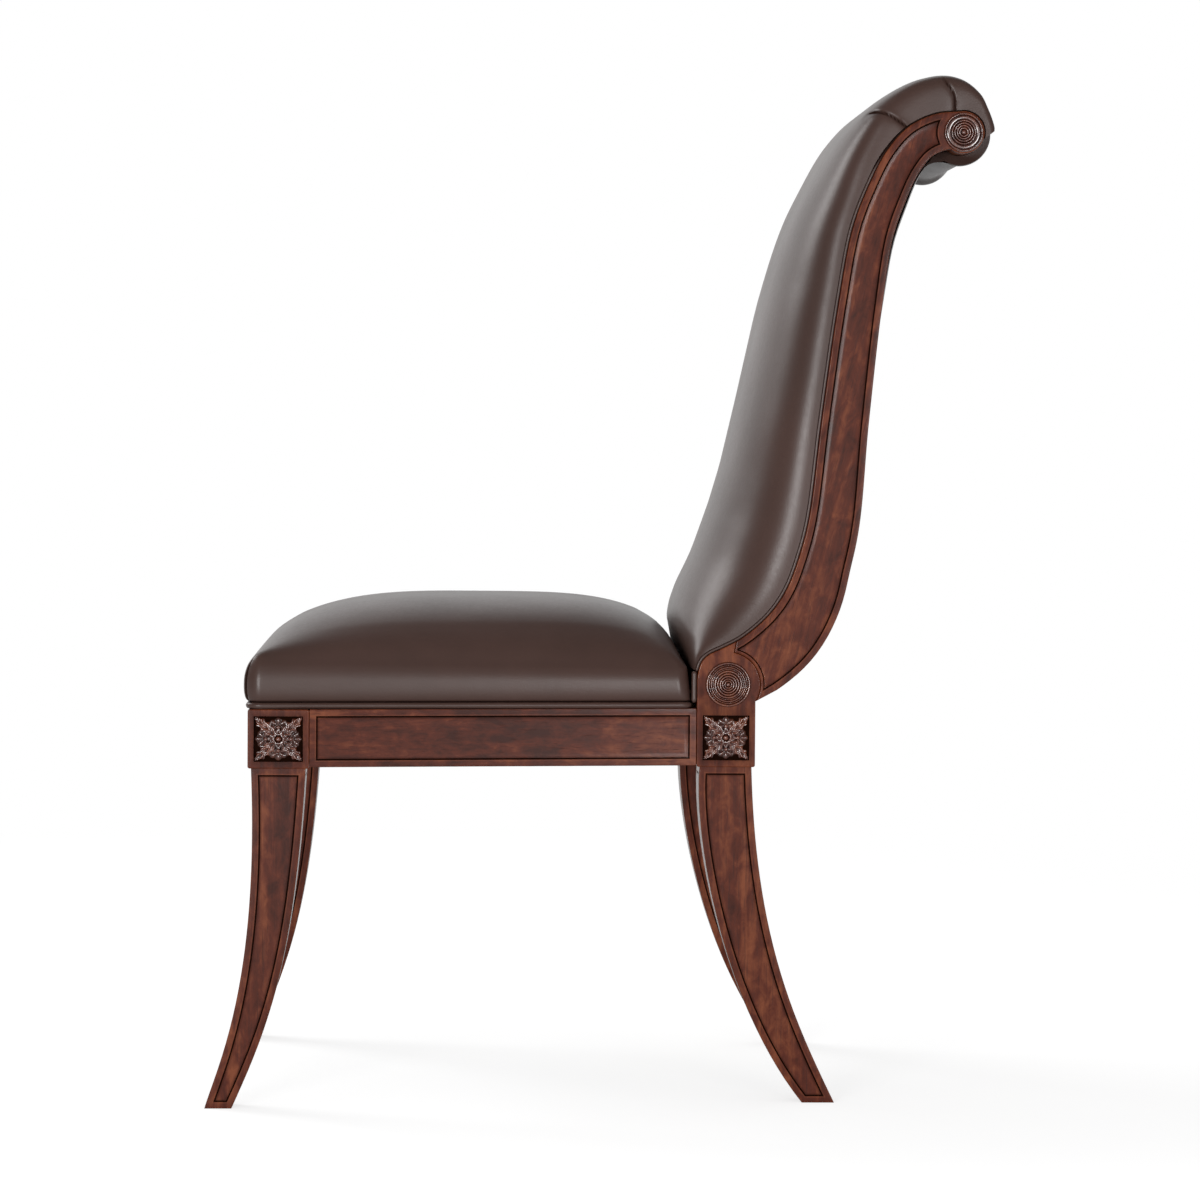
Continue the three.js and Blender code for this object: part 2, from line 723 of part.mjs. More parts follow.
function screw(from, to) {
  const along = new THREE.Vector3().subVectors(to, from);
  const length = along.length();
  const profile = [
    new THREE.Vector2(0, 0),
    new THREE.Vector2(screwHeadRadius, 0),
    new THREE.Vector2(screwRadius, screwHeadHeight),
    new THREE.Vector2(screwRadius, length - screwRadius),
    new THREE.Vector2(0, length),
  ];
  const turn = new THREE.Quaternion().setFromUnitVectors(yAxis, along.normalize());
  return new THREE.LatheGeometry(profile, 8).applyQuaternion(turn).translate(from.x, from.y, from.z);
}

const screwHeight = cornerBlockBottom + cornerBlockHeight * 0.4;
const screws = {};
for (const [end, plan] of Object.entries(cornerPlans)) {
  const facing = end === 'front' ? 1 : -1;
  const railInner = end === 'front' ? frontRailInner : rearRailInner;
  const toRailX = plan[0].x * 0.4 + plan[1].x * 0.6;
  const railGap = (plan[0].x - toRailX);
  const entry = railInner + facing * (cornerBlockThickness * Math.SQRT2 - railGap);
  const toSideY = plan[2].y * 0.6 + plan[3].y * 0.4;
  const sideGap = Math.abs(plan[3].y - toSideY);
  const sideEntry = sideRailInner(toSideY) - fit - (cornerBlockThickness * Math.SQRT2 - sideGap);
  const seatward = centreOf(plan).lerp(centreOf(plan.slice(2)), 0.25);
  screws[end] = [
    [
      'rail',
      new THREE.Vector3(toRailX, entry - facing * screwHeadRadius, screwHeight),
      new THREE.Vector3(toRailX, railInner - facing * screwBite, screwHeight),
    ],
    [
      'side',
      new THREE.Vector3(sideEntry + screwHeadRadius, toSideY, screwHeight),
      new THREE.Vector3(sideRailInner(toSideY) + screwBite, toSideY, screwHeight),
    ],
    [
      'seat',
      new THREE.Vector3(seatward.x, seatward.y, cornerBlockBottom + screwHeadRadius),
      new THREE.Vector3(seatward.x, seatward.y, blockTop + boardThickness * 0.75),
    ],
  ];
}

// The hole that a screw runs in, open at its head.
function screwHole([, from, to]) {
  const back = new THREE.Vector3().subVectors(from, to).normalize();
  const shank = bar(from, to.clone().addScaledVector(back, -fit), screwRadius + fit, 8);
  const head = bar(
    from.clone().addScaledVector(back, 3 * overrun),
    from.clone().addScaledVector(back, -(screwHeadHeight + fit)),
    screwHeadRadius + fit,
    8,
  );
  return union([shank, head]);
}

function bored(solid, list) {
  return list.map(screwHole).reduce((whole, hole) => whole.subtract(hole), solid);
}

const allScrews = [...screws.front, ...screws.rear];
const sideRail = carve(
  union([
    planPlate(sideRailPlan, railBottom, blockTop),
    ...sideTenons.map(([x0, x1, y0, y1], i) =>
      block(x0, x1, i ? y0 : y0 + fit, i ? y1 - fit : y1, tenonBottom, tenonTop)),
  ]),
  [
    railLine(
      new THREE.Vector3(sideRailOuter(sideRailStart), sideRailStart, 0),
      new THREE.Vector3(sideRailOuter(sideRailEnd), sideRailEnd, 0),
    ),
  ],
);
placePair(frameGroup, 'side_rail', geometryOf(bored(sideRail, allScrews)), mahogany);

// A cross rail between two blocks, with a tenon at each end.
function crossRail(inner, y0, y1, z0, z1, tenon, tenonLow) {
  const half = inner - fit;
  const tip = inner + tenonLength - fit;
  return union([
    block(-half, half, y0, y1, z0, z1),
    block(-tip, tip, tenon[2], tenon[3], tenonLow, tenonLow + tenonHeight),
  ]);
}

const bothSides = (list) => list.flatMap(([name, from, to]) => [
  [name, from, to],
  [name, from.clone().setX(-from.x), to.clone().setX(-to.x)],
]);

const frontRail = crossRail(
  frontBlockInner, frontRailFace, frontRailFace + railThickness, railBottom, blockTop,
  frontTenon, tenonBottom,
);
const frontRailCut = frontRail.subtract(solidOf(railLine(
  new THREE.Vector3(-frontBlockInner + fit, frontRailFace, 0),
  new THREE.Vector3(frontBlockInner - fit, frontRailFace, 0),
)));
place(frameGroup, 'front_rail', geometryOf(bored(frontRailCut, bothSides(screws.front))), mahogany);

const rearRail = crossRail(
  postInner, rearRailFace - railThickness, rearRailFace, railBottom, blockTop,
  rearTenon, tenonBottom,
);
place(frameGroup, 'rear_rail', geometryOf(bored(rearRail, bothSides(screws.rear))), mahogany);

const lowerBackRail = crossRail(
  postInner, lowerRailFront, lowerRailRear, lowerRailBottom, lowerRailBottom + lowerRailHeight,
  lowerTenon, lowerTenonBottom,
);
place(backGroup, 'lower_back_rail', geometryOf(lowerBackRail), innerWood);

for (const [end, plan] of Object.entries(cornerPlans)) {
  const brace = bored(solidOf(planPlate(plan, cornerBlockBottom, blockTop)), screws[end]);
  placePair(frameGroup, end + '_corner_block', geometryOf(brace), innerWood);
  for (const [name, from, to] of screws[end]) {
    placePair(frameGroup, end + '_' + name + '_screw', screw(from, to), steel);
  }
}

// Crest rail: a turned bar tenoned into the scrolls
const crestHalf = stileInner - fit;
const crestRadius = scrollRadius - fit;
const crestProfile = [
  [0, -crestHalf - crestTenonLength],
  [crestTenonRadius, -crestHalf - crestTenonLength],
  [crestTenonRadius, -crestHalf],
  [crestRadius, -crestHalf],
  [crestRadius, crestHalf],
  [crestTenonRadius, crestHalf],
  [crestTenonRadius, crestHalf + crestTenonLength],
  [0, crestHalf + crestTenonLength],
].map(([radius, along]) => new THREE.Vector2(radius, along));
const crestRail = place(backGroup, 'crest_rail', new THREE.LatheGeometry(crestProfile, 24), innerWood);
crestRail.rotation.z = -Math.PI / 2;
crestRail.position.set(0, scrollCentre.x, scrollCentre.y);

// Turned roundels: a beaded disc with rings and a centre boss, seated in a shallow round recess.
// Each row is [share of the radius, share of the rise].
const roundelShares = [
  [0.14, 0.85], [0.21, 0.35], [0.3, 0.75], [0.4, 0.3], [0.72, 0.38], [0.8, 0.7], [0.87, 0.35],
  [0.94, 0.7], [1, 0.2],
];

function roundel(name, centre, radius, rise) {
  const profile = [
    new THREE.Vector2(0, fit - roundelSeat),
    new THREE.Vector2(radius, fit - roundelSeat),
    ...roundelShares.map(([out, up]) => new THREE.Vector2(radius * out, rise * up)).reverse(),
    new THREE.Vector2(0, rise),
  ];
  const geometry = new THREE.LatheGeometry(profile, 20);
  geometry.rotateZ(-Math.PI / 2);
  geometry.translate(rearHalf, centre.x, centre.y);
  placePair(backGroup, name, geometry, mahogany);
}

roundel('head_roundel', headCentre, headRoundelRadius, roundelRise);
roundel('scroll_roundel', scrollCentre, scrollRoundelRadius, roundelRise);

// Carved plaques: a rosette of four leaves towards the corners, four small ones between them
// and a bead, in relief on a plate. The carving lies flush with the block's face.

// A domed leaf of unit size, as shares of its radius and rise, with its foot sunk in the plate
const leafShares = [[0, -0.3], [1, -0.3], [0.82, 0.6], [0, 1]];

function pebble(halfLength, halfWidth, rise, degrees, distance) {
  const profile = leafShares.map(([out, up]) => new THREE.Vector2(out, up));
  const leaf = new THREE.LatheGeometry(profile, 6);
  leaf.rotateX(Math.PI / 2);
  leaf.scale(halfLength, halfWidth, rise);
  leaf.translate(distance, 0, 0);
  return leaf.rotateZ(THREE.MathUtils.degToRad(degrees));
}

function carvedPlaque([halfWidth, halfHeight]) {
  const relief = plaqueRecess - plaquePlate - fit;
  const diagonal = Math.hypot(halfWidth, halfHeight);
  const plate = new THREE.BoxGeometry(2 * halfWidth, 2 * halfHeight, plaquePlate);
  const pieces = [plate.translate(0, 0, -plaquePlate / 2)];
  for (let quarter = 0; quarter < 4; quarter++) {
    pieces.push(pebble(diagonal * 0.34, diagonal * 0.17, relief, 45 + 90 * quarter, diagonal * 0.5));
    pieces.push(pebble(halfWidth * 0.27, halfWidth * 0.16, relief * 0.8, 90 * quarter, halfWidth * 0.62));
  }
  pieces.push(pebble(plaqueBead, plaqueBead, relief, 0, 0));
  return geometryOf(union(pieces));
}

// Carving sits on the recess floor, so its own face is one plate above that floor.
const plaqueFace = plaqueRecess - plaquePlate - fit;
const forward = new THREE.Matrix4().makeBasis(xAxis, zAxis, yAxis.clone().negate());

const frontSidePlaque = carvedPlaque(frontPlaque).applyMatrix4(sideToWorld);
frontSidePlaque.translate(frontHalf - plaqueFace, frontBlockDepth / 2, plaqueHeight);
placePair(frameGroup, 'front_side_plaque', frontSidePlaque, mahogany);

const frontFacePlaque = carvedPlaque(facePlaque).applyMatrix4(forward);
frontFacePlaque.translate(frontHalf - blockThickness / 2, plaqueFace, plaqueHeight);
placePair(frameGroup, 'front_face_plaque', frontFacePlaque, mahogany);

const rearSidePlaque = carvedPlaque(rearPlaque).applyMatrix4(sideToWorld);
rearSidePlaque.translate(rearHalf - plaqueFace, seatDepth - rearBlockDepth / 2, plaqueHeight);
placePair(frameGroup, 'rear_side_plaque', rearSidePlaque, mahogany);

// Seat cushion

// The seat's plan is a trapezoid with rounded corners, given as points with outward normals.
const seatRear = rearBlockFront - 2 * cornerWeltRadius - 2 * fit;
const seatHalfAt = (depth) => frontHalf + sideRailSlope * (depth - frontBlockDepth);
const seatRearHalf = seatHalfAt(seatRear);

function seatPlan(edgeSteps, cornerSteps) {
  const corners = [
    new THREE.Vector2(frontHalf, 0),
    new THREE.Vector2(seatRearHalf, seatRear),
    new THREE.Vector2(-seatRearHalf, seatRear),
    new THREE.Vector2(-frontHalf, 0),
  ];
  const plan = [];
  corners.forEach((corner, i) => {
    const next = corners[(i + 1) % 4];
    const before = corners[(i + 3) % 4];
    const leave = new THREE.Vector2().subVectors(next, corner).normalize();
    const arrive = new THREE.Vector2().subVectors(corner, before).normalize();
    const normalIn = new THREE.Vector2(arrive.y, -arrive.x);
    const normalOut = new THREE.Vector2(leave.y, -leave.x);
    const turn = normalIn.angleTo(normalOut);
    const setback = seatCornerRadius * Math.tan(turn / 2);
    const centre = corner.clone().addScaledVector(arrive, -setback);
    centre.addScaledVector(normalIn, -seatCornerRadius);
    for (let k = 0; k <= cornerSteps; k++) {
      const normal = turnedBy(normalIn, (turn * k) / cornerSteps);
      plan.push({ point: centre.clone().addScaledVector(normal, seatCornerRadius), normal });
    }
    const from = plan[plan.length - 1].point;
    const nextLeave = new THREE.Vector2().subVectors(corners[(i + 2) % 4], next).normalize();
    const nextTurn = leave.angleTo(nextLeave);
    const nextTurnOnly = Math.min(nextTurn, 2 * Math.PI - nextTurn);
    const to = next.clone().addScaledVector(leave, -seatCornerRadius * Math.tan(nextTurnOnly / 2));
    for (let k = 1; k < edgeSteps; k++) {
      plan.push({ point: from.clone().lerp(to, k / edgeSteps), normal: normalOut });
    }
  });
  return plan;
}

const weltOutset = -0.2 * weltRadius;
const seatBottom = blockTop + 2 * fit;
const weltTop = blockTop + fit + 2 * weltRadius;
const rimOutset = weltOutset - weltRadius - fit;
const weltDrop = weltTop - blockTop + 4 * fit;

// The seat's side, as rows of [outset, height above the frame].
const seatSide = [
  [rimOutset, seatBottom - blockTop],
  [rimOutset, weltTop - blockTop + fit],
  [seatBulge * 0.4, weltTop - blockTop + 3 * fit],
  [seatBulge, seatEdgeHeight * 0.34],
  [seatBulge, seatEdgeHeight * 0.57],
  [seatBulge * 0.33, seatEdgeHeight * 0.8],
  [-seatBulge * 0.75, seatEdgeHeight],
];
const crownShares = [0.96, 0.88, 0.74, 0.55, 0.32];
const crownFullness = 2.6;
const crownRound = 0.5;
const seatMiddle = new THREE.Vector2(0, seatRear * 0.5);

// One ring of the seat's skin, drawn in by a thickness.
function seatRing(plan, outset, height, share, inward) {
  return plan.map(({ point, normal }) => {
    const across = Math.abs(point.x) / frontHalf;
    const along = THREE.MathUtils.clamp(point.y / seatRear, 0, 1);
    const risen = Math.max(0, (height - weltDrop) / (seatEdgeHeight - weltDrop));
    const edge = height - rearCornerDroop * across ** 4 * along ** 2 * risen ** 2;
    const bulge = outset > 0 ? outset * (1 - Math.max(0, normal.y)) : outset;
    const rim = point.clone().addScaledVector(normal, bulge - inward);
    rim.y -= seatLean * risen * along ** 6;
    const spot = seatMiddle.clone().lerp(rim, share);
    const sideways = share * Math.min(1, Math.abs(point.x) / seatHalfAt(point.y));
    const lengthways = share * Math.min(1, Math.abs(point.y - seatMiddle.y) / (seatRear - seatMiddle.y));
    const rise = ((1 - sideways ** crownFullness) * (1 - lengthways ** crownFullness)) ** crownRound;
    const top = crownHeight - inward;
    const z = blockTop + edge + (top - edge) * (share < 1 ? rise : 0);
    return new THREE.Vector3(spot.x, spot.y, z);
  });
}

function seatSkin(plan, side, inward) {
  const last = side[side.length - 1];
  return [
    ...side.map(([outset, height]) => seatRing(plan, outset, height, 1, inward)),
    ...crownShares.map((share) => seatRing(plan, last[0], last[1], share, inward)),
  ];
}

const seatPoints = seatPlan(7, 3);
const crownPole = (inward) => new THREE.Vector3(seatMiddle.x, seatMiddle.y, blockTop + crownHeight - inward);
// The lining keeps a leather's thickness above the fold over the welt, which is rows 1 and 2.
const coverInside = seatSide.map(([outset, height], i) =>
  (i === 1 || i === 2 ? [outset, height + leather] : [outset, height]));
const seatCover = stackOfRings(
  crownPole(0),
  [
    ...seatSkin(seatPoints, seatSide, 0).reverse(),
    ...seatSkin(seatPoints, coverInside, leather),
  ],
  crownPole(leather),
);
place(upholstery, 'seat_cover', turnedOut(seatCover), hide);

const foamGap = leather + 2 * fit;
const boardTop = blockTop + fit + boardThickness;
const foamSide = [
  [rimOutset, boardTop + fit - blockTop],
  ...seatSide.slice(3),
];
const foamRings = seatSkin(seatPoints, foamSide, foamGap);
const foamPole = new THREE.Vector3(seatMiddle.x, seatMiddle.y, boardTop + fit);
place(upholstery, 'seat_foam', turnedOut(stackOfRings(foamPole, foamRings, crownPole(foamGap))), foam);

// Faces that come out pointing in are turned round.
function turnedOut(geometry) {
  if (signedVolume(geometry) > 0) return geometry;
  const index = geometry.index.array;
  for (let i = 0; i < index.length; i += 3) {
    const first = index[i];
    index[i] = index[i + 1];
    index[i + 1] = first;
  }
  return geometry;
}

function signedVolume(geometry) {
  const position = geometry.attributes.position;
  const index = geometry.index.array;
  const corner = (i) => new THREE.Vector3().fromBufferAttribute(position, index[i]);
  let volume = 0;
  for (let i = 0; i < index.length; i += 3) {
    volume += corner(i).dot(corner(i + 1).cross(corner(i + 2))) / 6;
  }
  return volume;
}

// Seat board, under the foam and inside the cover's rim
const boardInset = rimOutset - leather - fit;
const boardPlan = seatPlan(1, 3).map(({ point, normal }) => point.clone().addScaledVector(normal, boardInset));
const boardBlank = solidOf(planPlate(boardPlan, blockTop + fit, boardTop));
const seatBoard = bored(boardBlank, bothSides(allScrews));
place(upholstery, 'seat_board', geometryOf(seatBoard), innerWood);

// Seat welt: along both sides and the front, with a short welt up each rear corner

// A cord of piping through points, with a ring of points at each one. The path bends about one
// axis only.
function piping(points, radius, sides, axis) {
  const rings = points.map((point, i) => {
    const before = points[Math.max(0, i - 1)];
    const after = points[Math.min(points.length - 1, i + 1)];
    const along = new THREE.Vector3().subVectors(after, before).normalize();
    const across = new THREE.Vector3().crossVectors(along, axis);
    const ring = [];
    for (let k = 0; k < sides; k++) {
      const angle = (2 * Math.PI * k) / sides;
      ring.push(point.clone()
        .addScaledVector(across, radius * Math.cos(angle))
        .addScaledVector(axis, radius * Math.sin(angle)));
    }
    return ring;
  });
  return turnedOut(stackOfRings(points[0], rings, points[points.length - 1]));
}

const weltHeight = blockTop + fit + weltRadius;
const weltPlan = seatPlan(6, 5);
const weltCorner = weltPlan.length / 4;
const weltPath = [...weltPlan.slice(3 * weltCorner), ...weltPlan.slice(0, weltCorner)];
const weltStart = weltPlan.slice(2 * weltCorner + 3, 3 * weltCorner);
const weltEnd = weltPlan.slice(weltCorner, weltCorner + 3);
const weltLine = [...weltStart, ...weltPath, ...weltEnd].map(({ point, normal }) => {
  const centre = point.clone().addScaledVector(normal, weltOutset);
  return new THREE.Vector3(centre.x, centre.y, weltHeight);
});
place(upholstery, 'seat_welt', piping(weltLine, weltRadius, 8, zAxis), hide);

const cornerWeltX = rearHalf - cornerWeltRadius;
const cornerWeltY = rearBlockFront - fit - cornerWeltRadius;
const cornerWeltFoot = blockTop + 3 * fit + 2 * weltRadius;
const cornerWelt = bar(
  new THREE.Vector3(cornerWeltX, cornerWeltY, cornerWeltFoot),
  new THREE.Vector3(cornerWeltX, cornerWeltY, blockTop + cornerWeltRise),
  cornerWeltRadius,
);
placePair(upholstery, 'seat_corner_welt', cornerWelt, hide);

// Dust cover, under the rails
const dustTop = railBottom - fit;
const dustFront = frontRailFace + dustInset;
const dustRear = rearRailFace - dustInset;
const dustSide = (depth) => sideRailOuter(depth) - dustInset;
const dustHalf = [
  [frontBlockInner - dustInset, dustFront],
  [frontBlockInner - dustInset, frontBlockDepth + dustInset],
  [dustSide(frontBlockDepth + dustInset), frontBlockDepth + dustInset],
  [dustSide(rearBlockFront - dustInset), rearBlockFront - dustInset],
  [postInner - dustInset, rearBlockFront - dustInset],
  [postInner - dustInset, dustRear],
];
const dustPlan = [
  ...dustHalf.map(([x, y]) => new THREE.Vector2(x, y)),
  ...dustHalf.map(([x, y]) => new THREE.Vector2(-x, y)).reverse(),
];
place(frameGroup, 'dust_cover', planPlate(dustPlan, dustTop - dustThickness, dustTop), cambric);

// Back padding

// The first station that carries padding: below it the seat's corner welts stand.
const padStart = 1;

// The line that carries the padding: the stiles' front edge, then round the scroll to the seam.
const padLine = withNormals([
  ...backEdge.slice(padStart).map(({ point }) => point),
  ...seamArc.reverse().slice(1),
]);
const padLengths = [backEdgeSpline.getLength() * stationShares[padStart]];
padLine.forEach(({ point }, i) => {
  if (i > 0) padLengths.push(padLengths[i - 1] + point.distanceTo(padLine[i - 1].point));
});
padLine.forEach((station, i) => {
  Object.assign(station, { share: padLengths[i] / padLengths[padLengths.length - 1] });
});

// How far the padding's crown reaches from that line, as
// [share of the line, forward share, upward share] of the padding's depth.
const padReachShares = [
  [0.012, 0.1, 0.03], [0.025, 0.19, 0.09], [0.038, 0.3, 0.167], [0.05, 0.415, 0.255],
  [0.066, 0.52, 0.35], [0.094, 0.66, 0.45], [0.128, 0.77, 0.51], [0.186, 0.915, 0.44],
  [0.239, 0.962, 0.32], [0.291, 0.96, 0.21], [0.359, 0.91, 0.08], [0.429, 0.845, 0.06],
  [0.514, 0.77, 0.1], [0.599, 0.705, 0.105], [0.699, 0.566, 0.16], [0.758, 0.485, 0.2],
  [0.817, 0.38, 0.287], [0.862, 0.27, 0.35], [0.905, 0.117, 0.42], [0.945, 0, 0.378],
  [0.957, -0.055, 0.308], [0.966, -0.088, 0.233], [0.973, -0.103, 0.153],
  [0.986, -0.131, 0.04], [1, -0.141, -0.012],
];
const padReach = new THREE.CubicInterpolant(
  padReachShares.map(([share]) => share),
  padReachShares.flatMap(([, forward, up]) => [forward, up]),
  2,
);

// The crown over a station, drawn in by a thickness.
function crownOver({ point, share }, inward) {
  const [forward, up] = padReach.evaluate(share);
  const reach = new THREE.Vector2(-forward, up).multiplyScalar(backDepth);
  return point.clone().add(reach.setLength(reach.length() - inward));
}

// The sides are rounder low on the back and squarer at the crest.
const sideRoundShares = [[0, 2.6], [0.5, 2.8], [0.8, 3.6], [1, 4.5]];
const sideFullness = 0.9;
const padHalf = rearHalf - arris;
const padRim = padHalf - 2 * backWeltRadius - fit;
const padFoot = 2 * backWeltRadius + 2 * fit;

// One row across the padding: out from a foot line over the wood to the crown and back.
function paddedRow(station, halfWidth, foot, inward, columns) {
  const base = station.point.clone().addScaledVector(station.normal, foot);
  const crown = crownOver(station, inward);
  const power = 2 / eased(sideRoundShares, station.share);
  const row = [];
  for (let c = 0; c <= columns; c++) {
    const angle = (Math.PI * c) / columns;
    const across = Math.sign(Math.cos(angle)) * Math.abs(Math.cos(angle)) ** power;
    const spot = base.clone().lerp(crown, Math.sin(angle) ** sideFullness);
    row.push(new THREE.Vector3(halfWidth * across, spot.x, spot.y));
  }
  return row;
}

function padRow(station, inward, columns) {
  const rim = (side, rise) => new THREE.Vector3(
    side * (padRim - inward),
    station.point.x + station.normal.x * rise,
    station.point.y + station.normal.y * rise,
  );
  const foot = padFoot + inward;
  const row = paddedRow(station, padHalf - inward, foot, inward, columns);
  return [rim(1, 2 * fit), rim(1, foot - fit), ...row, rim(-1, foot - fit), rim(-1, 2 * fit)];
}

const coverRows = padLine.map((station) => padRow(station, 0, 10));
const coverLining = padLine.map((station) => padRow(station, leather, 10));
place(upholstery, 'inside_back_cover', turnedOut(slabBetween(coverRows, coverLining)), hide);

// Webbing across the stiles' front edges, and the foam on it
function edgeRow({ point, normal }, x, rise) {
  return [x, -x].map((side) =>
    new THREE.Vector3(side, point.x + normal.x * rise, point.y + normal.y * rise));
}

const foamHalf = padRim - leather - fit;
const webbingStations = padLine.filter(({ share }) => share > 0.045 && share < 0.95);
const webbingTop = fit + webbingThickness;
place(upholstery, 'back_webbing', turnedOut(slabBetween(
  webbingStations.map((station) => edgeRow(station, foamHalf, webbingTop)),
  webbingStations.map((station) => edgeRow(station, foamHalf, fit)),
)), jute);

function foamRow(station, columns) {
  const foot = webbingTop + fit;
  const outer = paddedRow(station, foamHalf, foot + fit, foamGap, columns);
  const inner = outer.map(({ x }) => new THREE.Vector3(
    x,
    station.point.x + station.normal.x * foot,
    station.point.y + station.normal.y * foot,
  ));
  return { outer, inner };
}

const foamStations = padLine.filter(({ share }) => share > 0.03 && share < 0.99);
const foamGrid = foamStations.map((station) => foamRow(station, 6));
place(upholstery, 'back_foam', turnedOut(slabBetween(
  foamGrid.map((row) => row.outer),
  foamGrid.map((row) => row.inner),
)), foam);

// Back welts, in the corner between the padding and the stiles
const backWeltRise = backWeltRadius + fit;
const backWeltLine = padLine.map(({ point, normal }) => new THREE.Vector3(
  padHalf - backWeltRadius,
  point.x + normal.x * backWeltRise,
  point.y + normal.y * backWeltRise,
));
placePair(upholstery, 'back_welt', piping(backWeltLine, backWeltRadius, 6, xAxis), hide);

// Outside back: from the lower rail up between the stiles and round the crest roll.
const outsideHalf = stileInner - fit;
const outsideStart = seatDepth + leather + 2 * fit;
const crevice = new THREE.Vector2(
  scrollCentre.x - rollRadius * 0.8,
  scrollCentre.y - rollRadius * 0.72,
);
const riseShares = [[0.1, 0.15], [0.5, 0.25], [0.68, 0.8], [0.8, 1], [0.9, 0.6]];
const outsideStations = stileStations.filter(({ share }) => share < 0.92);
const outsideStretch = outsideStations.map((station) =>
  rearEdge(outsideRise * eased(riseShares, station.share), [station])[0]);
const rollArc = arc(scrollCentre, rollRadius, scrollDegrees.neck, scrollDegrees.rollEnd, 8);
const outsideLine = withNormals([
  new THREE.Vector2(outsideStart, blockTop + 2 * fit),
  new THREE.Vector2(outsideStart, cornerHeight),
  ...outsideStretch,
  crevice,
  ...rollArc,
]);
const outsideColumns = 4;

function outsideRow({ point, normal }, inward, share) {
  const row = [];
  for (let c = 0; c <= outsideColumns; c++) {
    const across = 1 - (2 * c) / outsideColumns;
    const crown = outsideCrown * (1 - across ** 2) * Math.min(1, 6 * share * (1 - share));
    const rise = inward - crown;
    row.push(new THREE.Vector3(
      outsideHalf * across,
      point.x + normal.x * rise,
      point.y + normal.y * rise,
    ));
  }
  return row;
}

const outsideShare = (i) => i / (outsideLine.length - 1);
place(upholstery, 'outside_back_cover', turnedOut(slabBetween(
  outsideLine.map((station, i) => outsideRow(station, 0, outsideShare(i))),
  outsideLine.map((station, i) => outsideRow(station, leather, outsideShare(i))),
)), hide);

// Roll padding between the crest rail and the leather round it
const rollPadOutline = [
  ...arc(scrollCentre, rollRadius - leather - 2 * fit, scrollDegrees.neck, scrollDegrees.rollEnd, 8),
  ...arc(scrollCentre, scrollRadius + fit, scrollDegrees.rollEnd, scrollDegrees.neck, 8),
];
place(upholstery, 'crest_roll_pad', sidePlate(rollPadOutline, -outsideHalf, outsideHalf), foam);

// The origin is on the floor, under the middle of the chair.
const bounds = new THREE.Box3().setFromObject(chair);
chair.position.set(0, -(bounds.min.y + bounds.max.y) / 2, 0);

export default chair;
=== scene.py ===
# An upholstered klismos side chair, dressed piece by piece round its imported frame: mahogany
# with incised lines and carved plaques, and chocolate leather over padding.

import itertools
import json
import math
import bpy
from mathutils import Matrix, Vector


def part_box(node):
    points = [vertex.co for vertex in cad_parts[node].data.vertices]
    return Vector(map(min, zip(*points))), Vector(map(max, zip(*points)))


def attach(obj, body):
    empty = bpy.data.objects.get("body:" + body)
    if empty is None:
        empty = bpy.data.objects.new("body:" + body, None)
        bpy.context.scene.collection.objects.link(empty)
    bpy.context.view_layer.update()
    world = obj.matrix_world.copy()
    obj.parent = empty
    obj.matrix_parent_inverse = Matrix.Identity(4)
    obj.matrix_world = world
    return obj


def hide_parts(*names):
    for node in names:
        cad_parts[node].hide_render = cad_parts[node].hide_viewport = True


bl_info = {
    "name": "Klismos Chair",
    "version": (1, 0, 0),
    "blender": (4, 5, 0),
    "location": "3D View > Sidebar > Klismos Chair",
    "description": "Builds a scroll-backed klismos side chair piece by piece round its frame",
    "category": "Object",
}

import bpy
import numpy as np
from mathutils import Matrix, Vector
from mathutils.geometry import delaunay_2d_cdt

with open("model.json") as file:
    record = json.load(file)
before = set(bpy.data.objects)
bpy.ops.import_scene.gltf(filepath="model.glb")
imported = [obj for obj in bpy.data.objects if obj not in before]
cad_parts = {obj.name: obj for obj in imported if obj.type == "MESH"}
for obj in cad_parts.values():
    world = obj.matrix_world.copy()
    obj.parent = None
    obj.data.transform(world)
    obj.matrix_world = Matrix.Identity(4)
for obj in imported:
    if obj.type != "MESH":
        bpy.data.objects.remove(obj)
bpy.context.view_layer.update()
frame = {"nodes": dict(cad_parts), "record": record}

# Sizes are in millimetres, with X across the chair, Y back from the front blocks' front faces
# and Z up. MM turns them into metres.
MM = 0.001
RAIL_SET = 1.5
FRONT_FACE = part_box("front_rail")[0].y / MM - RAIL_SET
FRONT_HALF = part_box("front_leg_left")[1].x / MM
REAR_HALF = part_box("rear_leg_left")[1].x / MM
BLOCK_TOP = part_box("front_leg_left")[1].z / MM
RAIL_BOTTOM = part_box("front_rail")[0].z / MM
BLOCK_BOTTOM = RAIL_BOTTOM - RAIL_SET
SEAT_DEPTH = 500.0
FRONT_BLOCK_DEPTH = 60.0
REAR_BLOCK_DEPTH = 58.0
REAR_BLOCK_FRONT = SEAT_DEPTH - REAR_BLOCK_DEPTH
BLOCK_THICKNESS = 55.0
LEG_STEP = 3.2
LEG_THICKNESS = BLOCK_THICKNESS - 1.5 * LEG_STEP
SOLE_THICKNESS = 30.0
STILE_THICKNESS = 34.0
RAIL_THICKNESS = 24.0
FIT = 0.3
SIDE_RAIL_SLOPE = (REAR_HALF - FRONT_HALF) / (REAR_BLOCK_FRONT - FRONT_BLOCK_DEPTH)
PLAQUE_HEIGHT = (BLOCK_BOTTOM + BLOCK_TOP) / 2
PLAQUE_RECESS = 4.0
PLAQUE_HALF_HEIGHT = 22.0
FRONT_PLAQUE_HALF = 23.8
FACE_PLAQUE_HALF = 21.3
REAR_PLAQUE_HALF = 22.8
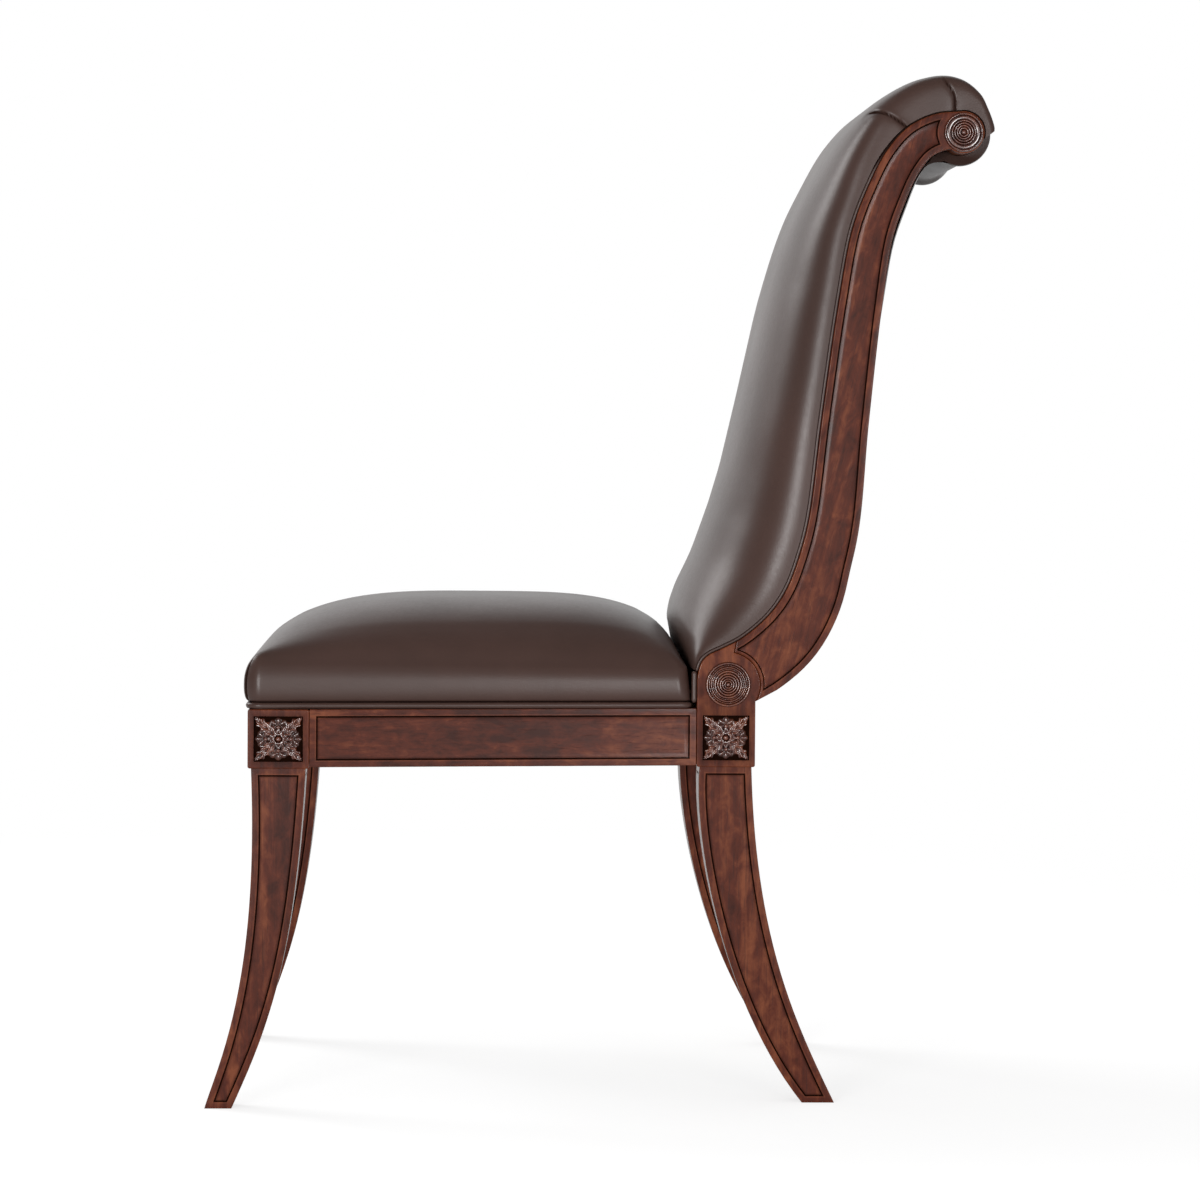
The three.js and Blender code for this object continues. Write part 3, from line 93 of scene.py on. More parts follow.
HEAD_CENTRE = np.array([REAR_BLOCK_FRONT + REAR_BLOCK_DEPTH * 0.53, BLOCK_TOP + 24])
HEAD_ROUND = 32.0
HEAD_ROUNDEL = 22.4
BACK_RUN = 259.0
BACK_RISE = 571.0
SCROLL_CENTRE = np.array([REAR_BLOCK_FRONT + BACK_RUN, BLOCK_TOP + BACK_RISE])
SCROLL_RADIUS = 20.7
SCROLL_ROUNDEL = 19.5
ROUNDEL_RISE = 2.9
SEAM_DEGREES = -15.0
SCROLL_MEETS_NECK = -128.0
SHOULDER_DEGREES = 80.0
LEATHER = 1.6
CROWN_HEIGHT = 105.0
SEAT_EDGE = 54.0
SEAT_REAR = 436.2
SEAT_CORNER = 12.0
REAR_CORNER_DROOP = 16.0
SEAT_LEAN = 5.0
REAR_FULLNESS = 4.0
WELT_RADIUS = 3.1
CORNER_WELT_RADIUS = 2.6
BACK_WELT_RADIUS = 1.6
BACK_DEPTH = 87.0
PAD_HALF = REAR_HALF - 1.2
ROLL_RADIUS = 32.0
ROLL_CORE = 21.2
ROLL_WAIST = 5.5


# Settings that a user would change

def length(name, description, default, low, high):
    return bpy.props.FloatProperty(
        name=name, description=description, default=default, min=low, max=high, unit="LENGTH"
    )


def tint(name, description, default):
    return bpy.props.FloatVectorProperty(
        name=name, description=description, default=default, min=0, max=1, size=3, subtype="COLOR"
    )


def share(name, description, default, high=1.0):
    return bpy.props.FloatProperty(
        name=name, description=description, default=default, min=0, max=high, subtype="FACTOR"
    )


def power(name, description, default):
    return bpy.props.FloatProperty(
        name=name, description=description, default=default, min=0, max=500, subtype="POWER"
    )


class KlismosWoodSettings(bpy.types.PropertyGroup):
    arris: length("Arris", "Rounding of the show wood's edges", 0.0012, 0.0002, 0.004)
    line_inset: length("Line Inset", "From an edge to its incised line", 0.0065, 0.003, 0.012)
    line_width: length("Line Width", "Width of the incised lines", 0.0016, 0.0008, 0.004)
    line_depth: length("Line Depth", "Depth of the incised lines", 0.0012, 0.0003, 0.003)
    panel_hollow: length("Panel Hollow", "Depth of the stiles' hollowed panels", 0.0007, 0, 0.002)
    body_tint: tint("Wood", "The mahogany's middle tone", (0.098, 0.0185, 0.0076))
    dark_tint: tint("Dark Grain", "The mahogany's dark figure", (0.042, 0.0080, 0.0035))
    # Light Grain is also the colour of the painted highlights on arrises, beside the incised lines,
    # on beads and on carved ridges
    light_tint: tint("Light Grain", "The mahogany's light figure", (0.205, 0.055, 0.021))
    # The colour of the painted shade in the incised lines, by the panels' edges, in recesses, in
    # the roundels' grooves and on the carvings' ground
    line_tint: tint("Line", "Stain in the incised lines", (0.010, 0.0035, 0.002))
    polish: share("Polish", "Roughness of the polished wood", 0.34)


class KlismosLeatherSettings(bpy.types.PropertyGroup):
    body_tint: tint("Leather", "The leather's middle tone", (0.071, 0.037, 0.0295))
    # A quarter as bright, it is also the colour of the painted shade in creases, crevices, folds
    # and under the roll
    dark_tint: tint("Dark Leather", "The leather's darker clouds", (0.058, 0.030, 0.0235))
    roughness: share("Roughness", "Roughness of the leather's finish", 0.37)
    seat_fill: share("Seat Fill", "How tightly the seat is stuffed", 0.8)
    back_fill: share("Back Fill", "How tightly the back is stuffed", 0.8)
    pleat_depth: length("Pleat Depth", "Depth of the folds at the crest", 0.0030, 0, 0.006)
    corner_tuck: length("Corner Tuck", "Depth of the folds at the seat's corners", 0.0034, 0, 0.006)


class KlismosStageSettings(bpy.types.PropertyGroup):
    lens: bpy.props.FloatProperty(
        name="Lens", description="Focal length of the camera", default=127.89, min=20, max=300,
        subtype="DISTANCE_CAMERA",
    )
    front_lamp: power("Front Lamp", "Power of the lamp before the chair", 76)
    top_lamp: power("Top Lamp", "Power of the lamp above the chair", 36)
    side_lamp: power("Side Lamp", "Power of the lamp beside the camera", 48)
    fill: share("Fill", "Strength of the even light from all round", 0.42, 2.0)


# Curves in side view

def bezier(start, first, second, end, shares):
    t = np.asarray(shares)[:, None]
    a, b, c, d = (np.asarray(point, float) for point in (start, first, second, end))
    return (1 - t) ** 3 * a + 3 * (1 - t) ** 2 * t * b + 3 * (1 - t) * t**2 * c + t**3 * d


def unit(vectors):
    return vectors / np.linalg.norm(vectors, axis=-1, keepdims=True)


def joined(t, start, leave, end, arrive):
    """A smooth curve from start to end that leaves and arrives at the given rates."""
    return (
        (2 * t**3 - 3 * t**2 + 1) * start + (t**3 - 2 * t**2 + t) * leave
        + (3 * t**2 - 2 * t**3) * end + (t**3 - t**2) * arrive
    )


def flowing_line(points, steps=24):
    """A dense curve through points, even where their spacing changes."""
    points = np.asarray(points, float)
    ends = np.vstack([2 * points[0] - points[1], points, 2 * points[-1] - points[-2]])
    t = np.linspace(0, 1, steps, endpoint=False)[:, None]
    line = []
    for p0, p1, p2, p3 in zip(ends, ends[1:], ends[2:], ends[3:]):
        d0, d1, d2 = (math.sqrt(np.linalg.norm(b - a)) for a, b in ((p0, p1), (p1, p2), (p2, p3)))
        leave = d1 * ((p1 - p0) / d0 - (p2 - p0) / (d0 + d1) + (p2 - p1) / d1)
        arrive = d1 * ((p2 - p1) / d1 - (p3 - p1) / (d1 + d2) + (p3 - p2) / d2)
        line.append(joined(t, p1, leave, p2, arrive))
    return np.vstack(line + [points[-1:]])


def lengths_along(line):
    return np.r_[0, np.cumsum(np.linalg.norm(np.diff(line, axis=0), axis=1))]


def points_along(line, distances):
    at = lengths_along(line)
    return np.stack([np.interp(distances, at, line[:, k]) for k in range(line.shape[1])], 1)


def left_normals(line):
    run = unit(np.gradient(line, axis=0))
    return np.stack([-run[:, 1], run[:, 0]], 1)


def eased(table, at, spread=0.02):
    """Values read from a table of (place, value) rows, with its corners rounded off."""
    places, values = np.asarray(table, float).T
    nudges = np.linspace(-spread, spread, 9)
    return np.mean([np.interp(np.asarray(at) + nudge, places, values) for nudge in nudges], axis=0)


def flowing_values(table, at):
    """Values read from a table of (place, value, ...) rows along smooth curves."""
    table = np.asarray(table, float)
    places, values = table[:, 0], table[:, 1:]
    slopes = np.gradient(values, places, axis=0)
    i = np.clip(np.searchsorted(places, at) - 1, 0, len(places) - 2)
    span = (places[i + 1] - places[i])[:, None]
    t = np.clip((at - places[i])[:, None] / span, 0, 1)
    return joined(t, values[i], span * slopes[i], values[i + 1], span * slopes[i + 1])


def arc(centre, radius, from_degrees, to_degrees, steps):
    angle = np.radians(np.linspace(from_degrees, to_degrees, steps + 1))
    return centre + radius * np.stack([np.cos(angle), np.sin(angle)], 1)


def smooth_step(value, low, high):
    t = np.clip((value - low) / (high - low), 0, 1)
    return t * t * (3 - 2 * t)


# A corner's rounding, in arrises
CORNER_ROUND = 1.8


def rounded(outline, arris, steps=3, least_turn=30.0):
    """The closed outline with its sharper corners rounded."""
    done = []
    for before, corner, after in zip(np.roll(outline, 1, 0), outline, np.roll(outline, -1, 0)):
        arrive, leave = unit(corner - before), unit(after - corner)
        turn = math.acos(np.clip(arrive @ leave, -1, 1))
        if math.degrees(turn) < least_turn:
            done.append(corner)
            continue
        setback = arris * CORNER_ROUND * math.tan(turn / 2)
        a, b = corner - arrive * setback, corner + leave * setback
        for t in np.linspace(0, 1, steps + 1):
            done.append((1 - t) ** 2 * a + 2 * t * (1 - t) * corner + t**2 * b)
    return np.array(done)


def drawn_in(outline, distance):
    """The closed outline, which runs anticlockwise, moved inwards by a distance, and the
    directions out of its corners."""
    edges = unit(np.roll(outline, -1, 0) - outline)
    out = np.stack([edges[:, 1], -edges[:, 0]], 1)
    before = np.roll(out, 1, 0)
    miter = (before + out) / (1 + np.sum(before * out, axis=1))[:, None]
    return outline - miter * distance, unit(before + out)


def inside(points, outline):
    x, y = points[:, 0][:, None], points[:, 1][:, None]
    x0, y0 = outline[:, 0], outline[:, 1]
    x1, y1 = np.roll(x0, -1), np.roll(y0, -1)
    with np.errstate(divide="ignore", invalid="ignore"):
        crosses = ((y0 > y) != (y1 > y)) & (x < (x1 - x0) * (y - y0) / (y1 - y0) + x0)
    return crosses.sum(axis=1) % 2 == 1


# Meshes

class Shell:
    """The points, shades and faces of one piece, gathered part by part in millimetres."""

    def __init__(self):
        self.points, self.shades, self.faces = [], [], []
        self.count = 0

    def add(self, points, shade=0.0):
        points = np.asarray(points, float).reshape(-1, 3)
        numbers = np.arange(self.count, self.count + len(points))
        self.points.append(points)
        self.shades.append(np.broadcast_to(np.asarray(shade, float).reshape(-1), (len(points),)))
        self.count += len(points)
        return numbers

    def strip(self, low, high, closed=True):
        if closed:
            low, high = np.append(low, low[0]), np.append(high, high[0])
        self.faces += np.stack([low[:-1], low[1:], high[1:], high[:-1]], 1).tolist()

    def rows(self, grid, shade=0.0, closed=True):
        shades = np.broadcast_to(np.asarray(shade, float), grid.shape[:2])
        numbers = [self.add(row, tone) for row, tone in zip(grid, shades)]
        for low, high in zip(numbers, numbers[1:]):
            self.strip(low, high, closed)
        return numbers

    def face(self, numbers):
        self.faces.append([int(number) for number in numbers])

    def fan(self, rim, point, shade=0.0):
        """Triangles from a closed rim to one point."""
        pole = self.add([point], shade)[0]
        for a, b in zip(rim, np.append(rim[1:], rim[0])):
            self.face((a, b, pole))

    def cap(self, rim, outline, lines, to_point, towards_x):
        """The face inside a rim, with closed lines let into it as (points, depth, shade)."""
        loops = [outline] + [points for points, _, _ in lines]
        numbers = np.concatenate([rim] + [
            self.add(to_point(points, depth), tone) for points, depth, tone in lines
        ])
        edges, start = [], 0
        for loop in loops:
            n = len(loop)
            edges += [(start + i, start + (i + 1) % n) for i in range(n)]
            start += n
        flat = np.vstack(loops)
        found = delaunay_2d_cdt([Vector(point) for point in flat], edges, [], 0, 1e-6, True)
        places, triangles, origin = found[0], found[2], found[3]
        crossings = [tuple(place) for place, came_from in zip(places, origin) if not came_from]
        if crossings:
            raise RuntimeError(f"two lines on a face cross at {crossings[:4]}")
        corners = np.array([came_from[0] for came_from in origin])[np.array(triangles)]
        corners = corners[inside(flat[corners].mean(axis=1), outline)]
        a, b, c = (flat[corners[:, k]] for k in range(3))
        area = (b[:, 0] - a[:, 0]) * (c[:, 1] - a[:, 1]) - (b[:, 1] - a[:, 1]) * (c[:, 0] - a[:, 0])
        backwards = (area > 0) != towards_x
        corners[backwards] = corners[backwards][:, ::-1]
        self.faces += numbers[corners].tolist()


ARRIS_STEPS = 3
# How much lighter the wood is painted in the middle of an arris, for wear and as a painted
# highlight
ARRIS_WEAR_AND_HIGHLIGHT = 0.6
# From an arris to the first column of its wall
WALL_START = 0.2


def plate(shell, outline, outer, inner, arris, outer_lines, inner_lines, columns, wall=None):
    """A plate across X with rounded arrises. outline runs anticlockwise in (y, z) and outer and
    inner give the faces' X over (y, z). columns lists distances from either face for the wall's
    columns, and wall gives the depth and shade of its carving."""
    angles = np.linspace(0, math.pi / 2, ARRIS_STEPS + 1)
    flat, out = drawn_in(outline, arris)

    def arris_ring(face, side, angle):
        moved = drawn_in(outline, arris * (1 - math.cos(angle)))[0]
        x = face(*moved.T) + side * arris * (1 - math.sin(angle))
        tone = -ARRIS_WEAR_AND_HIGHLIGHT * math.sin(2 * angle)
        return np.column_stack([x, moved]), np.full(len(outline), tone)

    def wall_ring(face, side, distance):
        base = np.column_stack([face(*outline.T) + side * distance, outline])
        depth, tone = wall(base, distance) if wall else np.zeros((2, len(outline)))
        base[:, 1:] -= out * depth[:, None]
        return base, tone

    rings = [arris_ring(inner, 1, angle) for angle in angles[::-1]]
    rings += [wall_ring(inner, 1, distance) for distance in columns]
    rings += [wall_ring(outer, -1, distance) for distance in columns[::-1]]
    rings += [arris_ring(outer, -1, angle) for angle in angles]
    grid, tones = (np.array(part) for part in zip(*rings))
    numbers = shell.rows(grid, tones)
    for face, side, rim, lines in ((outer, 1, numbers[-1], outer_lines),
                                   (inner, -1, numbers[0], inner_lines)):
        def to_point(points, depth, face=face, side=side):
            return np.column_stack([face(*points.T) - side * depth, points])
        shell.cap(rim, flat, lines, to_point, side > 0)
    return shell


def front_point(points):
    """From a plate seen from the side to one that faces the front of the chair."""
    return np.column_stack([points[:, 1], -points[:, 0], points[:, 2]])


def rear_point(points):
    return np.column_stack([-points[:, 1], points[:, 0], points[:, 2]])


def facing_out(shell):
    """The shell with its faces turned to point out."""
    points = np.vstack(shell.points)
    a, b, c = points[np.array([
        (face[0], *side) for face in shell.faces for side in zip(face[1:], face[2:])
    ]).T]
    if np.sum(a * np.cross(b, c)) < 0:
        shell.faces = [face[::-1] for face in shell.faces]
    return shell


def tube(grid, shade=0.0):
    """A closed shell from rows of points, each of which goes all the way round it."""
    shell = Shell()
    rows = shell.rows(grid, shade)
    shell.face(rows[0][::-1])
    shell.face(rows[-1])
    return facing_out(shell)


# Every piece takes its own part of the wood's figure, these steps in metres on from the last one
GRAIN_STEPS = np.array([0.37, 0.61, 0.83])
GRAIN_SPAN = 5
piece_numbers = itertools.count(1)


def piece(name, shell, replaced, finish="polished_mahogany", mirrored=False, along=(0, 0, 1),
          sharp=38.0, weighted=True):
    """A finished piece from a shell, in its place in the chair's frame and riding on it. along is
    the run of the wood's grain and sharp the angle in degrees from which an edge stays sharp."""
    points = np.vstack(shell.points)
    if mirrored:
        points = points * (-1, 1, 1)
    metres = (points + (0, FRONT_FACE, 0)) * MM
    faces = [face[::-1] for face in shell.faces] if mirrored else shell.faces
    mesh = bpy.data.meshes.new(name)
    mesh.from_pydata(metres.tolist(), [], faces)
    turn = Vector(along).rotation_difference(Vector((0, 0, 1))).to_matrix()
    grain = metres @ np.array(turn).T + GRAIN_STEPS * next(piece_numbers) % GRAIN_SPAN
    for attribute, kind, field, values in (
        ("shade", "FLOAT", "value", np.concatenate(shell.shades)),
        ("grain", "FLOAT_VECTOR", "vector", grain.ravel()),
    ):
        data = mesh.attributes.new(attribute, kind, "POINT").data
        data.foreach_set(field, values.astype(np.float32))
    mesh.validate()
    mesh.materials.append(kept_finish(finish))
    mesh.shade_smooth()
    mesh.set_sharp_from_angle(angle=math.radians(sharp))
    item = bpy.data.objects.new(name, mesh)
    bpy.context.scene.collection.objects.link(item)
    if weighted:
        item.modifiers.new("Face Weights", "WEIGHTED_NORMAL").keep_sharp = True
    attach(item, "root")
    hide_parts(*replaced)
    return item


def pair(name, make, replaced, *options, **more):
    """Left and right pieces from one shell. replaced has braces in place of the side."""
    for side in ("left", "right"):
        piece(f"{name}_{side}", make(), [replaced.format(side)], *options,
              mirrored=side == "right", **more)


# Finishes

class Finish:
    """The nodes of a material or of the world."""

    def __init__(self, owner):
        owner.use_nodes = True
        self.tree = owner.node_tree
        self.tree.nodes.clear()

    def node(self, kind, inputs=None, **settings):
        node = self.tree.nodes.new(kind)
        for key, value in settings.items():
            setattr(node, key, value)
        for key, value in (inputs or {}).items():
            socket = node.inputs[key]
            if isinstance(value, bpy.types.NodeSocket):
                self.tree.links.new(value, socket)
            else:
                socket.default_value = value
        return node

    def place(self):
        return self.node("ShaderNodeTexCoord").outputs["Object"]

    def attribute(self, name, output):
        return self.node("ShaderNodeAttribute", attribute_name=name).outputs[output]

    def noise(self, vector, scale, detail=3.0, roughness=0.5, distortion=0.0):
        return self.node("ShaderNodeTexNoise", {
            "Vector": vector, "Scale": scale, "Detail": detail, "Roughness": roughness,
            "Distortion": distortion,
        }).outputs[0]

    def weave(self, vector, scale, directions):
        """Waves both ways across a cloth."""
        return [
            self.node("ShaderNodeTexWave", {"Vector": vector, "Scale": scale},
                      bands_direction=direction).outputs[0]
            for direction in directions
        ]

    def stretched(self, vector, scales):
        node = self.node("ShaderNodeVectorMath", {0: vector, 1: scales}, operation="MULTIPLY")
        return node.outputs[0]

    def maths(self, operation, first, second=0.5, third=0.5, clamp=False):
        inputs = {0: first, 1: second, 2: third}
        return self.node("ShaderNodeMath", inputs, operation=operation, use_clamp=clamp).outputs[0]

    def total(self, *parts, base=None):
        """The sum of (value, weight) parts over a base."""
        for value, weight in reversed(parts):
            if base is None:
                base = self.maths("MULTIPLY", value, weight)
            else:
                base = self.maths("MULTIPLY_ADD", value, weight, base)
        return base

    def spread(self, value, low, high, to_low=0.0, to_high=1.0):
        return self.node("ShaderNodeMapRange", {
            "Value": value, "From Min": low, "From Max": high, "To Min": to_low, "To Max": to_high,
        }).outputs[0]

    def mixed(self, amount, first, second):
        inputs = {0: amount, 6: first, 7: second}
        return self.node("ShaderNodeMix", inputs, data_type="RGBA").outputs[2]

    def bump(self, height, strength, distance, normal=None):
        inputs = {"Height": height, "Strength": strength, "Distance": distance}
        if normal is not None:
            inputs["Normal"] = normal
        return self.node("ShaderNodeBump", inputs).outputs[0]

    def surface(self, **inputs):
        shader = self.node("ShaderNodeBsdfPrincipled", {
            key.replace("_", " "): value for key, value in inputs.items()
        })
        self.node("ShaderNodeOutputMaterial", {"Surface": shader.outputs[0]})


def colour(*channels):
    return (*channels, 1.0)


def settings(name):
    return getattr(bpy.context.scene, f"klismos_{name}")


def polished_mahogany(finish, ior=1.27, coat=0.2, polish=None):
    wood = settings("wood")
    dark_grain, light_grain_and_highlight = colour(*wood.dark_tint), colour(*wood.light_tint)
    polish = wood.polish if polish is None else polish
    grain = finish.attribute("grain", "Vector")
    shade = finish.attribute("shade", "Fac")
    ribbon = finish.noise(finish.stretched(grain, (1, 1, 0.12)), 9.0, 3.0, 0.55, 0.8)
    figure = finish.noise(finish.stretched(grain, (1, 1, 0.05)), 95.0, 5.0, 0.6, 0.4)
    mottle = finish.noise(finish.stretched(grain, (1, 1, 0.55)), 85.0, 5.0, 0.62, 0.5)
    pores = finish.noise(finish.stretched(grain, (1, 1, 0.045)), 620.0, 2.0, 0.5)
    tone = finish.spread(finish.total((ribbon, 0.34), (figure, 0.30), (mottle, 0.36)), 0.40, 0.60)
    ramp = finish.node("ShaderNodeValToRGB", {0: tone})
    ramp.color_ramp.elements[0].color = dark_grain
    ramp.color_ramp.elements[1].color = light_grain_and_highlight
    ramp.color_ramp.elements.new(0.5).color = colour(*wood.body_tint)
    pore = finish.spread(pores, 0.60, 0.70, 0.0, 0.55)
    grained = finish.mixed(pore, ramp.outputs[0], dark_grain)
    # A negative shade is wear and a painted highlight on an edge, beside a line, on a bead or on a
    # ridge, and a positive one is painted shade in a hollow
    wear_and_highlight = finish.maths("MULTIPLY", finish.maths("MULTIPLY", shade, -1.0, clamp=True),
                        finish.spread(mottle, 0.35, 0.65, 0.35, 1.0))
    painted_shade = finish.maths("MULTIPLY", shade, 1.0, clamp=True)
    worn_and_highlighted = finish.mixed(wear_and_highlight, grained, light_grain_and_highlight)
    unshaded = finish.maths("SUBTRACT", 1.0, painted_shade)
    finish.surface(
        Base_Color=finish.mixed(painted_shade, worn_and_highlighted, colour(*wood.line_tint)),
        Roughness=finish.total((pore, 0.25), (mottle, 0.12), base=polish - 0.04),
        Normal=finish.bump(finish.total((pore, -1.0), (figure, 0.5)), 0.22, 0.0003),
        # Where painted shade falls, the specular and the coat are taken away with it, so the hollow
        # also looks unlit in reflection
        IOR=ior, Specular_IOR_Level=finish.maths("MULTIPLY", unshaded, 0.5),
        Coat_Weight=finish.maths("MULTIPLY", unshaded, coat), Coat_Roughness=0.12, Coat_IOR=1.45,
    )


def carved_mahogany(finish):
    """Waxed to a sheen, so that the carving's ridges catch the light."""
    polished_mahogany(finish, ior=1.95, coat=1.0, polish=0.24)


def chocolate_leather(finish):
    hide = settings("leather")
    dark_hide = colour(*hide.dark_tint)
    place, shade = finish.place(), finish.attribute("shade", "Fac")
    clouds = finish.noise(place, 8.0, 4.0, 0.55)
    cells = finish.node("ShaderNodeTexVoronoi", {"Vector": place, "Scale": 640.0}).outputs[0]
    wrinkles = finish.noise(place, 260.0, 4.0, 0.6, 0.6)
    slack = finish.noise(place, 22.0, 3.0, 0.5)
    # The shade attribute is painted shade: it darkens the leather in creases, crevices, folds, on
    # hidden sides and under the roll, and takes its reflections away there
    painted_leather_shade = finish.maths("MULTIPLY", shade, 1.0, clamp=True)
    cloudy = finish.mixed(finish.spread(clouds, 0.35, 0.65), colour(*hide.body_tint), dark_hide)
    painted_shade_tint = colour(*(channel * 0.25 for channel in hide.dark_tint))
    with_painted_shade = finish.mixed(painted_leather_shade, cloudy, painted_shade_tint)
    fine = finish.bump(finish.total((cells, 0.7), (wrinkles, 0.5)), 0.22, 0.00025)
    finish.surface(
        Base_Color=finish.mixed(finish.spread(cells, 0.0, 0.35, 0.25, 0.0), with_painted_shade, dark_hide),
        Roughness=finish.total((wrinkles, 0.12), (clouds, 0.10), base=hide.roughness - 0.11),
        Normal=finish.bump(slack, 0.25, 0.0012, fine), IOR=1.5,
        Specular_IOR_Level=finish.maths("MULTIPLY_ADD", painted_leather_shade, -0.85, 0.5, clamp=True),
    )


def inner_hardwood(finish):
    place = finish.place()
    figure = finish.noise(finish.stretched(place, (0.15, 1, 1)), 60.0, 4.0, 0.6, 0.5)
    fuzz = finish.noise(place, 420.0, 2.0)
    finish.surface(
        Base_Color=finish.mixed(finish.spread(figure, 0.35, 0.65), colour(0.52, 0.34, 0.18),
                                colour(0.30, 0.17, 0.08)),
        Roughness=finish.spread(figure, 0.3, 0.7, 0.6, 0.8), Normal=finish.bump(fuzz, 0.3, 0.0004),
    )


def screw_steel(finish):
    scratches = finish.noise(finish.stretched(finish.place(), (1, 1, 0.2)), 900.0, 2.0)
    finish.surface(
        Base_Color=finish.mixed(scratches, colour(0.46, 0.45, 0.43), colour(0.62, 0.61, 0.60)),
        Metallic=1.0, Roughness=finish.spread(scratches, 0, 1, 0.25, 0.5),
    )


def jute_webbing(finish):
    place = finish.place()
    knit = finish.maths("MULTIPLY", *finish.weave(place, 260.0, "XZ"))
    fibre = finish.noise(place, 900.0, 2.0)
    finish.surface(
        Base_Color=finish.mixed(finish.maths("MULTIPLY", knit, fibre), colour(0.20, 0.13, 0.06),
                                colour(0.50, 0.37, 0.20)),
        Roughness=finish.spread(fibre, 0, 1, 0.85, 1.0), Normal=finish.bump(knit, 0.6, 0.0008),
    )


def black_dust_cloth(finish):
    place = finish.place()
    knit = finish.maths("MAXIMUM", *finish.weave(place, 420.0, "XY"))
    lint = finish.noise(place, 70.0, 4.0)
    finish.surface(
        Base_Color=finish.mixed(finish.maths("MULTIPLY", knit, lint), colour(0.006, 0.006, 0.006),
                                colour(0.035, 0.034, 0.033)),
        Roughness=finish.spread(lint, 0, 1, 0.8, 1.0), Normal=finish.bump(knit, 0.5, 0.0004),
    )


# Each finish's slot in the frame, and what makes it
FINISHES = {
    "polished_mahogany": ("mahogany", polished_mahogany),
    "carved_mahogany": ("mahogany", carved_mahogany),
    "chocolate_leather": ("leather", chocolate_leather),
    "black_dust_cloth": ("dust_cloth", black_dust_cloth),
    "inner_hardwood": ("inner_wood", inner_hardwood),
    "screw_steel": ("screw_steel", screw_steel),
    "jute_webbing": ("webbing", jute_webbing),
}


def kept_finish(name):
    """The finish of that name, made when it is first asked for."""
    material = bpy.data.materials.get(name)
    if material is None:
        material = bpy.data.materials.new(name)
        FINISHES[name][1](Finish(material))
    return material


# Wood

# Where an incised line's shape breaks, in widths of the line from its outer side
GROOVE = (-0.9, -0.4, 0, 0.25, 0.75, 1, 2.4, 4)
# At each of them, the share of the line's depth, the share of its panel's hollow, and the painted
# shade: dark in the line and fading by the panel's edge, negative for a painted highlight just
# outside the line
GROOVE_DEPTH = np.array([0, 0, 0, 1, 1, 0, 0, 0])
GROOVE_HOLLOW = np.array([0, 0, 0, 0, 0, 0.4, 0.7, 1])
GROOVE_SHADE = (0, -0.75, 0.1, 1.0, 1.0, 0.45, 0, 0)


def incised(distance, wood, hollow=0.0):
    """Depth and shade of the incised line at distances from its piece's edge."""
    inset, width, deep = (
        value / MM for value in (wood.line_inset, wood.line_width, wood.line_depth)
    )
    places = inset + width * np.array(GROOVE)
    depths = GROOVE_DEPTH * deep + GROOVE_HOLLOW * hollow
    return np.interp(distance, places, depths), np.interp(distance, places, GROOVE_SHADE)


def line_places(wood, hollow=0.0):
    """The lines that make up one incised line, as (distance from the edge, depth, shade)."""
    inset, width = wood.line_inset / MM, wood.line_width / MM
    distances = inset + width * np.array(GROOVE if hollow else GROOVE[:-1])
    return [(distance, *incised(distance, wood, hollow)) for distance in distances]


# Points closer than this to a cut-off end are left out
CUT_GAP = 0.05


def moved_edge(edge, distance, low, high):
    """An edge moved to its left, cut off at two heights."""
    moved = edge + left_normals(edge) * distance
    if moved[0, 1] > moved[-1, 1]:
        moved = moved[::-1]
    kept = moved[(moved[:, 1] > low + CUT_GAP) & (moved[:, 1] < high - CUT_GAP)]
    ends = [[np.interp(height, moved[:, 1], moved[:, 0]), height] for height in (low, high)]
    return np.vstack([ends[0], kept, ends[1]])


def face_x(value):
    return lambda y, z: np.full(np.shape(y), value)


def rectangle(y0, y1, z0, z1):
    return np.array([(y0, z0), (y1, z0), (y1, z1), (y0, z1)], float)


LEG_ROWS = 26


def sabre_edge(top_depth, sweep, handles):
    """A leg's edge from its top to the floor."""
    (first_sweep, first_drop), (second_sweep, second_drop) = handles
    return bezier(
        (top_depth, BLOCK_BOTTOM),
        (top_depth + sweep * first_sweep, BLOCK_BOTTOM * (1 - first_drop)),
        (top_depth + sweep * second_sweep, BLOCK_BOTTOM * (1 - second_drop)),
        (top_depth + sweep, 0),
        np.linspace(0, 1, 200),
    )


FRONT_SOLE = 26.5
TOE_SWEEP = 44.5
HEEL_SWEEP = 104.6
REAR_SOLE = 32.2
SABRE_EDGES = {
    "front": (
        sabre_edge(LEG_STEP, -TOE_SWEEP, ((-0.21, 0.64), (0.74, 0.88))),
        sabre_edge(FRONT_BLOCK_DEPTH - LEG_STEP,
                   FRONT_SOLE - TOE_SWEEP - FRONT_BLOCK_DEPTH + 2 * LEG_STEP,
                   ((0.15, 0.59), (0.54, 0.78))),
    ),
    "rear": (
        sabre_edge(REAR_BLOCK_FRONT + LEG_STEP, HEEL_SWEEP, ((-0.06, 0.19), (0.22, 0.7))),
        sabre_edge(SEAT_DEPTH - LEG_STEP,
                   HEEL_SWEEP + REAR_SOLE - REAR_BLOCK_DEPTH + 2 * LEG_STEP,
                   ((0.06, 0.52), (0.56, 0.77))),
    ),
}
# How far a leg's top reaches up into its block
LEG_BURIED = 1.0


